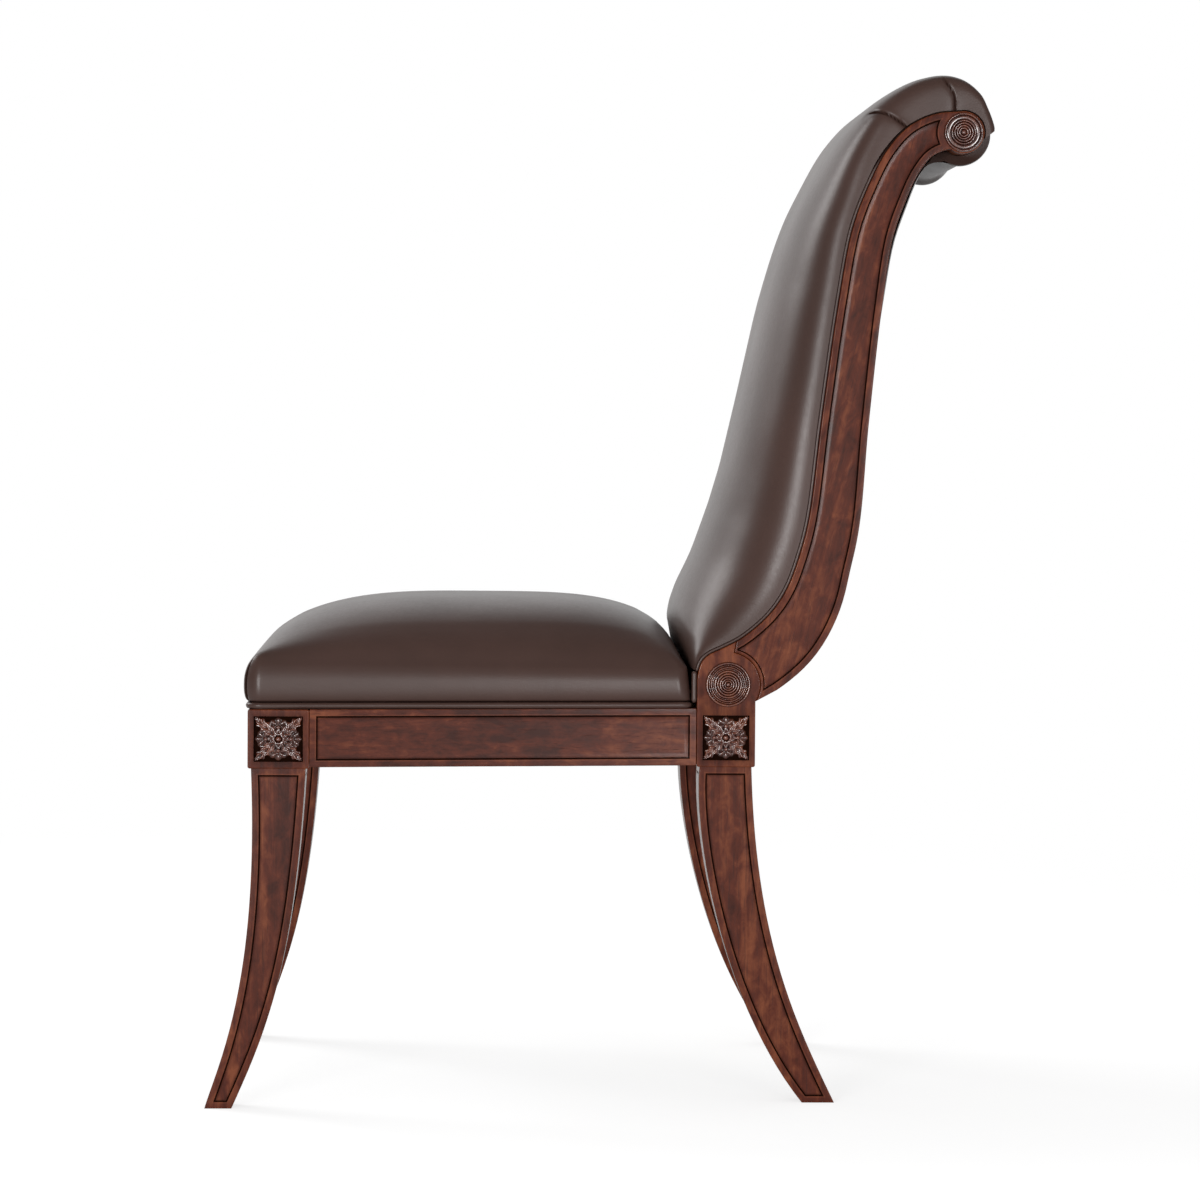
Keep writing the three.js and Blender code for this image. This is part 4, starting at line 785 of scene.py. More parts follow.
def sabre_leg(shell, edges, outer_x):
    """A leg below its block, with incised lines on all four faces."""
    wood = settings("wood")
    breaks = wood.line_inset / MM + wood.line_width / MM * np.array(GROOVE[:-1])
    sampled, ends = [], []
    for edge in edges:
        whole = lengths_along(edge)[-1]
        at = np.unique(np.round(np.r_[np.linspace(0, whole, LEG_ROWS), breaks, whole - breaks], 3))
        sampled.append(points_along(edge, at))
        ends.append(np.minimum(at, whole - at))
    outline = np.vstack([sampled[0], sampled[1][::-1]])
    outline[[0, -1], 1] += LEG_BURIED
    end_distance = np.r_[ends[0], ends[1][::-1]]

    def inner(y, z):
        drop = 1 - z / BLOCK_BOTTOM
        return outer_x - LEG_THICKNESS + (LEG_THICKNESS - SOLE_THICKNESS) * drop

    def wall(base, distance):
        return incised(np.minimum(end_distance, distance), wood)

    lines = []
    for distance, depth, tone in line_places(wood):
        left, right = (moved_edge(edge, way * distance, distance, BLOCK_BOTTOM - distance)
                       for edge, way in zip(edges, (1, -1)))
        lines.append((np.vstack([left[::-1], right]), depth, tone))
    return plate(shell, outline, face_x(outer_x), inner, wood.arris / MM, lines, lines,
                 [wood.arris / MM + WALL_START, *breaks], wall)


# A recess's lip slopes by this much and is painted with as much shade, and the painted shade in its
# depth is this dark
RECESS_LIP = 0.35
RECESS_SHADE = 0.9


def recess(middle, half):
    """The two lines of a plaque's square-cut recess in a side face."""
    wide, deep = (
        rectangle(middle - half - margin, middle + half + margin,
                  PLAQUE_HEIGHT - PLAQUE_HALF_HEIGHT - margin,
                  PLAQUE_HEIGHT + PLAQUE_HALF_HEIGHT + margin)
        for margin in (FIT, FIT - RECESS_LIP)
    )
    return [(wide, 0.0, RECESS_LIP), (deep, PLAQUE_RECESS, RECESS_SHADE)]


def front_post():
    """Front block with its two recesses, and the leg below it."""
    arris = settings("wood").arris / MM
    middle = FRONT_HALF - BLOCK_THICKNESS / 2
    low, high = (PLAQUE_HEIGHT + way * (PLAQUE_HALF_HEIGHT + FIT) for way in (-1, 1))
    corners = rounded(rectangle(0, FRONT_BLOCK_DEPTH, BLOCK_BOTTOM, BLOCK_TOP), arris)
    last = np.argmax((corners[:, 0] < 0.01) & (corners[:, 1] > PLAQUE_HEIGHT))
    outline = np.vstack([
        corners[:last + 1],
        [(0, z) for z in (high, high - RECESS_LIP, (low + high) / 2, low + RECESS_LIP, low)],
        corners[last + 1:],
    ])
    edge = middle - FACE_PLAQUE_HALF - FIT - FRONT_HALF + BLOCK_THICKNESS

    def wall(base, distance):
        x, y, z = base.T
        margin = FIT - RECESS_LIP / 2
        deep = (
            (y < 1) & (np.abs(z - PLAQUE_HEIGHT) < PLAQUE_HALF_HEIGHT + margin)
            & (np.abs(x - middle) < FACE_PLAQUE_HALF + margin)
        )
        # The recess's walls in the front face are painted dark as shade
        return deep * PLAQUE_RECESS, deep * RECESS_SHADE

    shell = plate(Shell(), outline, face_x(FRONT_HALF), face_x(FRONT_HALF - BLOCK_THICKNESS), arris,
                  recess(FRONT_BLOCK_DEPTH / 2, FRONT_PLAQUE_HALF), (),
                  [arris + WALL_START, edge, edge + RECESS_LIP], wall)
    return sabre_leg(shell, SABRE_EDGES["front"], FRONT_HALF - LEG_STEP)


# The stiles' front edge, which the padding, the webbing and the welts also follow, as shares of
# the back's run and rise
BACK_EDGE_SHARES = (
    (0, 0.051), (0.006, 0.067), (0.019, 0.082), (0.044, 0.093), (0.108, 0.107), (0.176, 0.124),
    (0.276, 0.164), (0.341, 0.208), (0.391, 0.27), (0.424, 0.332), (0.469, 0.502), (0.531, 0.709),
    (0.58, 0.832), (0.634, 0.9), (0.706, 0.9655), (0.788, 1.008), (0.892, 1.031),
    (1, 1 + SCROLL_RADIUS / BACK_RISE),
)
BACK_EDGE = flowing_line([
    (REAR_BLOCK_FRONT + BACK_RUN * run, BLOCK_TOP + BACK_RISE * rise)
    for run, rise in BACK_EDGE_SHARES
])
BACK_EDGE_LENGTH = lengths_along(BACK_EDGE)[-1]
STILE_WIDTHS = ((0.06, 62), (0.14, 62), (0.25, 52), (0.44, 47), (0.68, 42), (0.95, 36.5))
STILE_FOOT, STILE_NECK = 0.095, 0.962
PANEL_END = 19.3


def back_edge_at(shares):
    return points_along(BACK_EDGE, np.asarray(shares) * BACK_EDGE_LENGTH)


def stile_rear_edge(extra, shares):
    line = back_edge_at(shares)
    width = eased(STILE_WIDTHS, shares) + extra
    return line - left_normals(line) * width[:, None]


CORNER_HEIGHT = HEAD_CENTRE[1] - math.sqrt(HEAD_ROUND**2 - (SEAT_DEPTH - HEAD_CENTRE[0]) ** 2)
CORNER_DEGREES = math.degrees(math.asin((CORNER_HEIGHT - HEAD_CENTRE[1]) / HEAD_ROUND))


def shoulder_share():
    """The share of the back edge that lies straight out from the shoulder of the head."""
    shares = np.linspace(0.02, 0.2, 400)
    y, z = (back_edge_at(shares) - HEAD_CENTRE).T
    shoulder = math.radians(SHOULDER_DEGREES)
    return shares[np.argmax(y * math.sin(shoulder) - z * math.cos(shoulder) > 0)]


SHOULDER_SHARE = shoulder_share()
HEAD_STEPS = 26


def rear_post():
    """Rear block and round head in one, and the leg below them."""
    arris = settings("wood").arris / MM
    lower = rounded(rectangle(REAR_BLOCK_FRONT, SEAT_DEPTH, BLOCK_BOTTOM, CORNER_HEIGHT), arris)
    lower = lower[lower[:, 1] < PLAQUE_HEIGHT]
    start = np.argmin(np.where(lower[:, 0] < HEAD_CENTRE[0], -lower[:, 1], np.inf))
    outline = np.vstack([
        np.roll(lower, -start, axis=0),
        arc(HEAD_CENTRE, HEAD_ROUND, CORNER_DEGREES, SHOULDER_DEGREES, HEAD_STEPS),
        back_edge_at(np.linspace(SHOULDER_SHARE, 0, 22)),
    ])
    shell = plate(Shell(), outline, face_x(REAR_HALF), face_x(REAR_HALF - BLOCK_THICKNESS), arris,
                  recess(SEAT_DEPTH - REAR_BLOCK_DEPTH / 2, REAR_PLAQUE_HALF), (),
                  [arris + WALL_START])
    return sabre_leg(shell, SABRE_EDGES["rear"], REAR_HALF - LEG_STEP)


def crossing(line, centre, radius, leaving):
    """The bearing in degrees at which a line leaves or enters a circle, and its next point."""
    away = np.linalg.norm(line - centre, axis=1)
    i = int(np.argmax(away > radius if leaving else away < radius))
    t = (away[i - 1] - radius) / (away[i - 1] - away[i])
    y, z = line[i - 1] * (1 - t) + line[i] * t - centre
    below = 360 if leaving and z < 0 else 0
    return math.degrees(math.atan2(z, y)) % 360 - below, i


# The panel's outermost line keeps off the joint by this much, and each further one by a step more
JOINT_GAP = 1.8
JOINT_GAP_STEP = 0.4
# Clearance of the joint at the shoulder and at the corner behind the head, in degrees
SHOULDER_CLEARANCE = 0.6
CORNER_CLEARANCE = 1


def panel_line(distance, gap):
    """A closed line at a distance inside the stile's edges and at a gap from its joint."""
    reach = HEAD_ROUND + FIT + gap
    shoulder = math.radians(SHOULDER_DEGREES)
    shares = np.linspace(SHOULDER_SHARE * 0.5, 1, 160)
    front = back_edge_at(shares)
    front = front - left_normals(front) * distance
    rear = stile_rear_edge(-distance, shares)
    corner = SHOULDER_DEGREES - math.degrees(math.asin(gap / reach))
    front_foot, first = crossing(front, HEAD_CENTRE, reach, leaving=True)
    shoulder_end = front[:0]
    if front_foot > corner:
        # The front edge meets the flat shoulder before it comes to the round of the joint
        past = (front - HEAD_CENTRE) @ np.array([math.sin(shoulder), -math.cos(shoulder)])
        first = int(np.argmax(past > gap))
        part = (gap - past[first - 1]) / (past[first] - past[first - 1])
        shoulder_end = front[first - 1:first] * (1 - part) + front[first] * part
        front_foot = corner
    rear_foot, rear_first = crossing(rear, HEAD_CENTRE, reach, leaving=True)
    front_tip, last = crossing(front, SCROLL_CENTRE, PANEL_END + distance, leaving=False)
    rear_tip, rear_last = crossing(rear, SCROLL_CENTRE, PANEL_END + distance, leaving=False)
    return np.vstack([
        shoulder_end,
        front[first + 1:last - 1],
        arc(SCROLL_CENTRE, PANEL_END + distance, front_tip, rear_tip, 14),
        rear[rear_first + 1:rear_last - 1][::-1],
        arc(HEAD_CENTRE, reach, rear_foot, front_foot, 24),
    ])


def stile():
    """A scrolled stile: scribed round the post's head, with a hollowed panel in an incised line."""
    wood = settings("wood")
    outline = np.vstack([
        arc(HEAD_CENTRE, HEAD_ROUND + FIT, SHOULDER_DEGREES - SHOULDER_CLEARANCE,
            CORNER_DEGREES + CORNER_CLEARANCE, HEAD_STEPS),
        stile_rear_edge(0, np.linspace(STILE_FOOT, STILE_NECK, 90)),
        arc(SCROLL_CENTRE, SCROLL_RADIUS, SCROLL_MEETS_NECK, 90, 40)[:-1],
        back_edge_at(np.linspace(1, SHOULDER_SHARE + FIT / BACK_EDGE_LENGTH, 110)),
    ])
    lines = [
        (panel_line(distance, JOINT_GAP + JOINT_GAP_STEP * order), depth, tone)
        for order, (distance, depth, tone) in enumerate(line_places(wood, wood.panel_hollow / MM))
    ]
    return plate(Shell(), outline, face_x(REAR_HALF), face_x(REAR_HALF - STILE_THICKNESS),
                 wood.arris / MM, lines, lines, [wood.arris / MM + WALL_START])


RAIL_ARRIS = 0.6
# How far a rail's panel is hollowed, as a share of the stiles'
RAIL_HOLLOW = 0.6


def rail(y0, y1, outer, inner):
    wood = settings("wood")
    z0, z1 = RAIL_BOTTOM, BLOCK_TOP
    lines = [
        (rectangle(y0 + distance, y1 - distance, z0 + distance, z1 - distance), depth, tone)
        for distance, depth, tone in line_places(wood, wood.panel_hollow / MM * RAIL_HOLLOW)
    ]
    outline = rounded(rectangle(y0, y1, z0, z1), RAIL_ARRIS, steps=2)
    return plate(Shell(), outline, outer, inner, RAIL_ARRIS, lines, (), [RAIL_ARRIS + WALL_START])


def side_rail_x(y):
    return FRONT_HALF - RAIL_SET + SIDE_RAIL_SLOPE * (y - FRONT_BLOCK_DEPTH)


# Beads of the roundels as (inner share of the radius, outer share, height)
HEAD_BEADS = (
    (0, 0.11, 1.0), (0.11, 0.20, 0.72), (0.20, 0.30, 0.8), (0.30, 0.41, 0.84), (0.41, 0.52, 0.86),
    (0.52, 0.64, 0.80), (0.64, 0.70, 0.42), (0.70, 0.80, 0.84), (0.80, 0.87, 0.62), (0.87, 1, 0.95),
)
SCROLL_BEADS = (
    (0, 0.15, 1.0), (0.15, 0.27, 0.66), (0.27, 0.39, 0.74), (0.39, 0.52, 0.80), (0.52, 0.65, 0.90),
    (0.65, 0.86, 0.34), (0.86, 1, 0.95),
)
GROOVE_FLOOR = 0.12
ROUNDEL_SIDES = 96
ROUNDEL_EDGE = (1.0, 0.02)
# A boss's rings stop short of its middle, where they meet in a point
BOSS_EYE = 0.12
BEAD_POWER = 0.6


def roundel(centre, radius, beads):
    """A turned disc of beads round a centre boss, which stands on its own flat back."""
    turns = np.linspace(0, 2 * math.pi, ROUNDEL_SIDES, endpoint=False)
    circle = np.column_stack([np.cos(turns), np.sin(turns)])
    # The roundel's foot and each groove take painted shade, and each bead's crest and the boss's
    # point a painted highlight
    rings, tones = [ROUNDEL_EDGE], [0.8]
    for start, stop, height in beads[::-1]:
        for t in np.linspace(1, 0, 8)[:-1] if start else np.linspace(1, BOSS_EYE, 6):
            swell = (math.sin(math.pi * t) if start else math.cos(math.pi / 2 * t)) ** BEAD_POWER
            rings.append((start + (stop - start) * t,
                          GROOVE_FLOOR + (height - GROOVE_FLOOR) * swell))
            tones.append(1.0 - 1.3 * swell**1.6)
    grid = np.array([
        np.column_stack([np.full(ROUNDEL_SIDES, REAR_HALF + up * ROUNDEL_RISE),
                         centre + radius * out * circle])
        for out, up in rings
    ])
    shell = Shell()
    rows = shell.rows(grid, np.array(tones)[:, None])
    shell.fan(rows[-1], (REAR_HALF + ROUNDEL_RISE, *centre), -0.8)
    shell.face(rows[0][::-1])
    return shell


def hump(value, middle, width):
    return np.exp(-((value - middle) / width) ** 2)


def dome(distance, size):
    return np.sqrt(np.clip(1 - (distance / size) ** 2, 0, 1))


def turned_to(u, v, degrees):
    """Places on a square as (along, across) a motif that is turned to a bearing."""
    turn = math.radians(degrees)
    return u * math.cos(turn) + v * math.sin(turn), -u * math.sin(turn) + v * math.cos(turn)


def leaf(along, across, reach, width, lobes):
    """Height of a carved leaf that runs out along one axis, from 0 on the ground to 1."""
    t = along / reach
    shape = np.where((t > 0) & (t < 1), np.sin(np.pi * np.clip(t, 0, 1) ** 0.75) ** 0.6, 0)
    half = width * shape * (1 + 0.22 * np.cos(2 * math.pi * lobes * t)) + 1e-6
    side = np.abs(across) / half
    body = dome(side, 1)
    ribs = 0.22 * np.cos(2 * math.pi * (side * 1.6 - t * lobes * 0.9)) * body
    vein = -0.4 * hump(across, 0, 0.12 * width) * body
    return np.where(side < 1, np.clip(0.25 + 0.75 * body + ribs + vein, 0, 1.2), 0)


# The rosette's parts, in shares of half its square
LEAF_FOOT = 0.16
FAN_MIDDLE, FAN_REACH, FAN_WAVE = 0.57, 0.38, 0.04
EYE_MIDDLE, EYE_SIZE = 0.52, 0.11
BEAD_SIZE, BEAD_GAP, PETAL_REACH = 0.13, 0.16, 0.23
CARVING_MARGIN = 0.05


def carving(u, v):
    """Height of the rosette over a square from -1 to 1: four ribbed leaves to the corners, four
    shells between them and a bead in a ring of petals."""
    height = np.zeros(u.shape)
    for quarter in range(4):
        along, across = turned_to(u, v, 45 + 90 * quarter)
        height = np.maximum(height, leaf(along - LEAF_FOOT, across, 1.2, 0.27, 4))
        along, across = turned_to(u, v, 90 * quarter)
        spread = np.hypot(across, along - FAN_MIDDLE)
        bearing = np.arctan2(across, along - FAN_MIDDLE)
        rim = FAN_REACH + FAN_WAVE * np.cos(7 * bearing)
        ribs = np.abs(np.cos(3.5 * bearing)) * np.sin(np.pi * np.clip(spread / rim, 0, 1))
        fan = np.where((spread < rim) & (np.abs(bearing) < 1.9), 0.35 + 0.4 * ribs, 0)
        eye = dome(np.hypot(across, along - EYE_MIDDLE), EYE_SIZE) * 1.05
        small = leaf(along - LEAF_FOOT, across, 0.36, 0.12, 2) * 0.85
        height = np.maximum.reduce([height, fan, eye, small])
    from_middle = np.hypot(u, v)
    bearing = np.arctan2(v, u)
    petals = np.where(from_middle < PETAL_REACH, 0.55 + 0.3 * np.abs(np.cos(4 * bearing)), 0)
    middle = np.maximum.reduce([height, petals * (from_middle > 0.15),
                                dome(from_middle, BEAD_SIZE) * 1.25])
    height = np.where((from_middle > BEAD_SIZE) & (from_middle < BEAD_GAP), 0.15, middle)
    margin = np.minimum(1 - np.abs(u), 1 - np.abs(v))
    return height * smooth_step(margin, 0.0, CARVING_MARGIN)


PLAQUE_STEPS = 96
PLAQUE_GROUND = 0.7
PLAQUE_RELIEF = 3.1
# Painted shade over the carving's height, dark on its ground and fading up its sides to a painted
# highlight on its ridges
PLAQUE_TONES = ([0, 0.25, 0.55, 0.8, 1.1], [1.0, 1.0, 0.55, 0.0, -0.9])


def plaque(half, to_face):
    """A carved square let into a block's recess. to_face takes (across, up, out of the face)."""
    ticks = np.linspace(-1, 1, PLAQUE_STEPS)
    u, v = np.meshgrid(ticks, ticks)
    height = carving(u, v)
    low = FIT - PLAQUE_RECESS
    shell = Shell()
    rows = np.array(shell.rows(
        to_face(u * half, v * PLAQUE_HALF_HEIGHT, low + PLAQUE_GROUND + PLAQUE_RELIEF * height),
        np.interp(height, *PLAQUE_TONES), closed=False,
    ))
    rim = np.r_[rows[0], rows[1:, -1], rows[-1, -2::-1], rows[-2:0:-1, 0]]
    # The plaque's hidden skirt is painted fully dark as shade
    skirt = shell.add(to_face(u.ravel()[rim] * half, v.ravel()[rim] * PLAQUE_HALF_HEIGHT,
                              np.full(len(rim), low)), 1.0)
    shell.strip(skirt, rim)
    shell.face(skirt[::-1])
    return facing_out(shell)


# Seat

def seat_half(depth):
    return FRONT_HALF + SIDE_RAIL_SLOPE * (depth - FRONT_BLOCK_DEPTH)


SEAT_CORNERS = np.array([
    (FRONT_HALF, 0), (seat_half(SEAT_REAR), SEAT_REAR),
    (-seat_half(SEAT_REAR), SEAT_REAR), (-FRONT_HALF, 0),
])
SEAT_MIDDLE = np.array([0, SEAT_REAR / 2])
# Distances from the middle of a corner, measured along the border, of the seat's columns
CORNER_STEPS = (0, 1.8, 3.2, 4.0, 4.7, 5.4, 6.2, 7.6, 9.4, 11.5, 14.5, 18.5, 24, 31, 40, 51, 64, 79)
# Even steps along each side between the close ones at its corners
SIDE_STEPS = 25


def seat_border():
    """Points round the seat from the middle of its front left corner, with their outward normals
    and, for each, the number of the nearest corner and the distance on from it."""
    corners = []
    for before, corner, after in zip(np.roll(SEAT_CORNERS, 1, 0), SEAT_CORNERS,
                                     np.roll(SEAT_CORNERS, -1, 0)):
        arrive, leave = unit(corner - before), unit(after - corner)
        out_before, out = (np.array([run[1], -run[0]]) for run in (arrive, leave))
        turn = math.acos(np.clip(out_before @ out, -1, 1))
        inwards = SEAT_CORNER * math.tan(turn / 2)
        corners.append((corner - arrive * inwards - out_before * SEAT_CORNER, turn, leave, out))
    points, normals, nearest = [], [], []
    for i, (centre, turn, leave, out) in enumerate(corners):
        next_centre, next_turn = corners[(i + 1) % 4][:2]
        half = SEAT_CORNER * turn / 2
        start = centre + out * SEAT_CORNER
        straight = np.linalg.norm(next_centre + out * SEAT_CORNER - start)
        whole = half + straight + SEAT_CORNER * next_turn / 2
        middle = np.linspace(CORNER_STEPS[-1], whole - CORNER_STEPS[-1], SIDE_STEPS)[1:-1]
        for distance in np.r_[CORNER_STEPS, middle, whole - np.array(CORNER_STEPS[::-1])][:-1]:
            if distance < half:
                normal = rotated(out, distance / SEAT_CORNER - turn / 2)
                point = centre + normal * SEAT_CORNER
            elif distance > half + straight:
                normal = rotated(out, (distance - half - straight) / SEAT_CORNER)
                point = next_centre + normal * SEAT_CORNER
            else:
                normal, point = out, start + leave * (distance - half)
            points.append(point)
            normals.append(normal)
            past_middle = distance >= whole / 2
            nearest.append(((i + past_middle) % 4, distance - whole * past_middle))
    return np.array(points), np.array(normals), np.array(nearest)


def rotated(vector, angle):
    cos, sin = math.cos(angle), math.sin(angle)
    return np.array([vector[0] * cos - vector[1] * sin, vector[0] * sin + vector[1] * cos])


# The seat's side as (outset, height above the frame): in under the welt, out over it and round
SEAT_SIDE = (
    (-4.02, 0.6), (-4.02, 3.5), (-4.0, 6.2), (-2.2, 7.2), (0.6, 7.9), (2.6, 9.8), (3.9, 13.2),
    (4.6, 18.4), (4.7, 24.5), (4.3, 30.8), (3.0, 37.0), (0.7, 43.0), (-2.5, 48.6), (-6.8, 54),
)
CROWN_RINGS = 30
CROWN_FULLNESS = 3.0
REAR_CROWN_FULLNESS = 4.0
CROWN_EASE = 0.75
SIDE_CROWN = 3.4
SIDE_RINGS = 30
# From this height up the seat's side leans forward and droops towards the rear
LEAN_START = 9.0
# The tuck beside each front corner, as the distance forward of its fold and of the painted shade in
# the crease by it, and the slack that it takes up, each with a width
TUCK_FOLD, TUCK_CREASE, TUCK_SLACK = (4.7, 0.8), (5.6, 1.0), (1.6, 8.0)


def tucked(nearest, height):
    """How far the seat's side stands out beside its front corners, and the painted shade of the
    crease.
    """
    corner, distance = nearest.T
    forward = np.where(corner == 0, -distance, distance)
    front = (corner == 0) | (corner == 3)
    there = front * smooth_step(height, 6, 12) * (1 - smooth_step(height, 38, 52))
    slack = TUCK_SLACK[0] * hump(distance, 0, TUCK_SLACK[1]) * there
    fold = hump(forward, *TUCK_FOLD) * there
    return -settings("leather").corner_tuck / MM * fold - slack, hump(forward, *TUCK_CREASE) * there


def seat_ring(border, outset, height, share_out):
    """A ring of the seat at a height of its side, or drawn in from there to a share of the way out
    from its middle and raised to the crown. Returns its points and the painted shade of its
    creases."""
    points, normals, nearest = border
    along = np.clip(points[:, 1] / SEAT_REAR, 0, 1)
    risen = max(0.0, (height - LEAN_START) / (SEAT_EDGE - LEAN_START))
    bulge = outset * (1 - np.clip(normals[:, 1], 0, 1) * (outset > 0))
    tuck, painted_leather_shade = tucked(nearest, height)
    rim = points + normals * (bulge + tuck)[:, None]
    rim[:, 1] -= SEAT_LEAN * risen * along**6
    place = SEAT_MIDDLE + (rim - SEAT_MIDDLE) * share_out
    across, along = np.abs(place[:, 0]) / FRONT_HALF, np.clip(place[:, 1] / SEAT_REAR, 0, 1)
    edge = height - REAR_CORNER_DROOP * across**4 * along**2 * risen**2
    if share_out < 1:
        to_rear = place[:, 1] > SEAT_MIDDLE[1]
        reach = SEAT_MIDDLE[1] + outset + REAR_FULLNESS * to_rear
        sideways = np.abs(place[:, 0]) / (seat_half(place[:, 1]) + outset)
        lengthways = np.abs(place[:, 1] - SEAT_MIDDLE[1]) / reach
        fullness = np.where(to_rear, REAR_CROWN_FULLNESS, CROWN_FULLNESS)
        left = np.clip(1 - sideways**SIDE_CROWN, 0, 1) * np.clip(1 - lengthways**fullness, 0, 1)
        edge = edge + (CROWN_HEIGHT - edge) * left**CROWN_EASE
    return np.column_stack([place, BLOCK_TOP + edge]), painted_leather_shade


# The cushion stands on its board at one height, and its rim reaches down to the other
BOARD_HEIGHT, RIM_FOOT = 12.9, 0.6
# Below this height the side is painted dark as shade in the crevice over the welt
CREVICE_TOP = 7.6
# Rings before and after the first of the crown that are smoothed into one round shoulder
SHOULDER_RINGS = (6, 8)
SHOULDER_SMOOTHING = 10


def seat_cushion():
    """The crowned seat: a flat underside, its rim inside the welt, the side and the crown."""
    border = seat_border()
    side = flowing_line(SEAT_SIDE, 6)
    side = points_along(side, np.linspace(0, 1, SIDE_RINGS) * lengths_along(side)[-1])
    t = np.linspace(0, 1, CROWN_RINGS + 1)[1:-1]
    rings = []
    for share_out, height in ((0.25, BOARD_HEIGHT), (0.6, BOARD_HEIGHT), (0.9, BOARD_HEIGHT),
                              (1, BOARD_HEIGHT), (1, RIM_FOOT)):
        ring, _ = seat_ring(border, SEAT_SIDE[0][0] - LEATHER, RIM_FOOT, share_out)
        ring[:, 2] = BLOCK_TOP + height
        rings.append((ring, np.zeros(len(ring))))
    for outset, height in side:
        ring, painted_leather_shade = seat_ring(border, outset, height, 1)
        # The side's rings take the crease's painted shade and, low down, the crevice's painted
        # shade
        rings.append((ring, np.clip(painted_leather_shade * 0.9 + 0.8 * (height < CREVICE_TOP), 0, 1)))
    shoulder = len(rings)
    for share_out in 1 - t**1.5 * 0.985:
        ring, _ = seat_ring(border, *SEAT_SIDE[-1], share_out)
        rings.append((ring, np.zeros(len(ring))))
    rows, tones = (np.array(part) for part in zip(*rings))
    for _ in range(SHOULDER_SMOOTHING):
        for i in range(shoulder - SHOULDER_RINGS[0], shoulder + SHOULDER_RINGS[1]):
            rows[i] = (rows[i - 1] + 2 * rows[i] + rows[i + 1]) / 4
    shell = Shell()
    numbers = shell.rows(rows, tones)
    shell.fan(numbers[-1], (*SEAT_MIDDLE, BLOCK_TOP + CROWN_HEIGHT))
    shell.face(numbers[0][::-1])
    return facing_out(shell)


def cord(points, radius, bend_axis, sides=14, shade=0.0):
    """A piped cord along points, with domed ends."""
    run = unit(np.gradient(points, axis=0))
    across = np.cross(run, bend_axis)
    angles = np.linspace(0, 2 * math.pi, sides, endpoint=False)[:, None]
    radius = np.broadcast_to(radius, (len(points),))
    grid = points[:, None] + radius[:, None, None] * (
        across[:, None] * np.cos(angles) + np.array(bend_axis) * np.sin(angles))

    def dome_ring(k, way, angle):
        onward = way * run[k] * radius[k] * math.sin(angle)
        return points[k] + (grid[k] - points[k]) * math.cos(angle) + onward

    near, far = ([dome_ring(*end, angle) for angle in (0.6, 1.15)] for end in ((0, -1), (-1, 1)))
    tones = np.broadcast_to(shade, (len(points),))[np.r_[0, 0, :len(points), -1, -1]]
    return tube(np.concatenate([near[::-1], grid, far]), tones[:, None])


# The seat's piping is set in by this share of its radius, and ends this far before the rear
WELT_INSET, WELT_END = 0.2, 1.5


def seat_welt():
    """Piping round the seat's sides and front, and a little way round each rear corner."""
    points, normals, _ = seat_border()
    path = points + normals * (-WELT_INSET * WELT_RADIUS)
    behind = points[:, 1] > SEAT_REAR - WELT_END
    order = np.roll(np.arange(len(points)), -int(np.argmax(behind)))
    path = path[order[~behind[order]]]
    path = points_along(path, np.linspace(0, lengths_along(path)[-1], 420))
    centre = np.column_stack([path, np.full(len(path), BLOCK_TOP + FIT + WELT_RADIUS)])
    return cord(centre, WELT_RADIUS, (0, 0, 1))


# The seat's corner piping starts this much over the welt and ends at this height
CORNER_WELT_GAP, CORNER_WELT_TOP = 1.2, 34.5


def corner_welt():
    x = REAR_HALF - CORNER_WELT_RADIUS
    y = REAR_BLOCK_FRONT - FIT - CORNER_WELT_RADIUS
    z = np.linspace(BLOCK_TOP + 3 * FIT + 2 * WELT_RADIUS + CORNER_WELT_GAP,
                    BLOCK_TOP + CORNER_WELT_TOP, 16)
    path = np.column_stack([np.full(len(z), x), np.full(len(z), y), z])
    return cord(path, CORNER_WELT_RADIUS, (1, 0, 0))


# Back

SCROLL_TURN = arc(SCROLL_CENTRE, SCROLL_RADIUS, 90, SEAM_DEGREES, 60)
PAD_LINE = np.vstack([BACK_EDGE, SCROLL_TURN[1:]])
PAD_LENGTH = lengths_along(PAD_LINE)[-1]
PAD_START = 0.0125 * BACK_EDGE_LENGTH / PAD_LENGTH

# How far the padding's crown reaches, as (share of the line, forward share, upward share)
PAD_REACH = (
    (0.012, 0.1, 0.03), (0.025, 0.19, 0.09), (0.038, 0.3, 0.167), (0.05, 0.415, 0.255),
    (0.066, 0.52, 0.35), (0.094, 0.66, 0.45), (0.128, 0.77, 0.51), (0.186, 0.915, 0.44),
    (0.239, 0.962, 0.32), (0.291, 0.96, 0.21), (0.359, 0.91, 0.08), (0.429, 0.845, 0.06),
    (0.514, 0.77, 0.1), (0.599, 0.705, 0.105), (0.699, 0.566, 0.16), (0.758, 0.485, 0.2),
    (0.817, 0.38, 0.290), (0.862, 0.27, 0.36), (0.905, 0.117, 0.436), (0.945, 0, 0.392),
    (0.957, -0.055, 0.308), (0.966, -0.088, 0.233), (0.973, -0.103, 0.153),
    (0.986, -0.126, 0.075), (1, -0.1437, 0.093),
)
# How squarely the padding turns from its front to its sides, as (share, power across, power up)
SIDE_ROUND = (
    (0, 2.6, 2.2), (0.5, 2.8, 2.2), (0.62, 2.95, 2.25), (0.74, 3.7, 2.6), (0.82, 5.2, 3.8),
    (0.88, 9.5, 7), (0.93, 14, 10), (1, 14, 10),
)
# How high the padding's sides start over the pad line, as (share, height)
PAD_FOOT = ((0.0, 3.8), (0.80, 3.8), (0.87, 1.5), (1.0, 1.5))
BACK_COLUMNS = 108
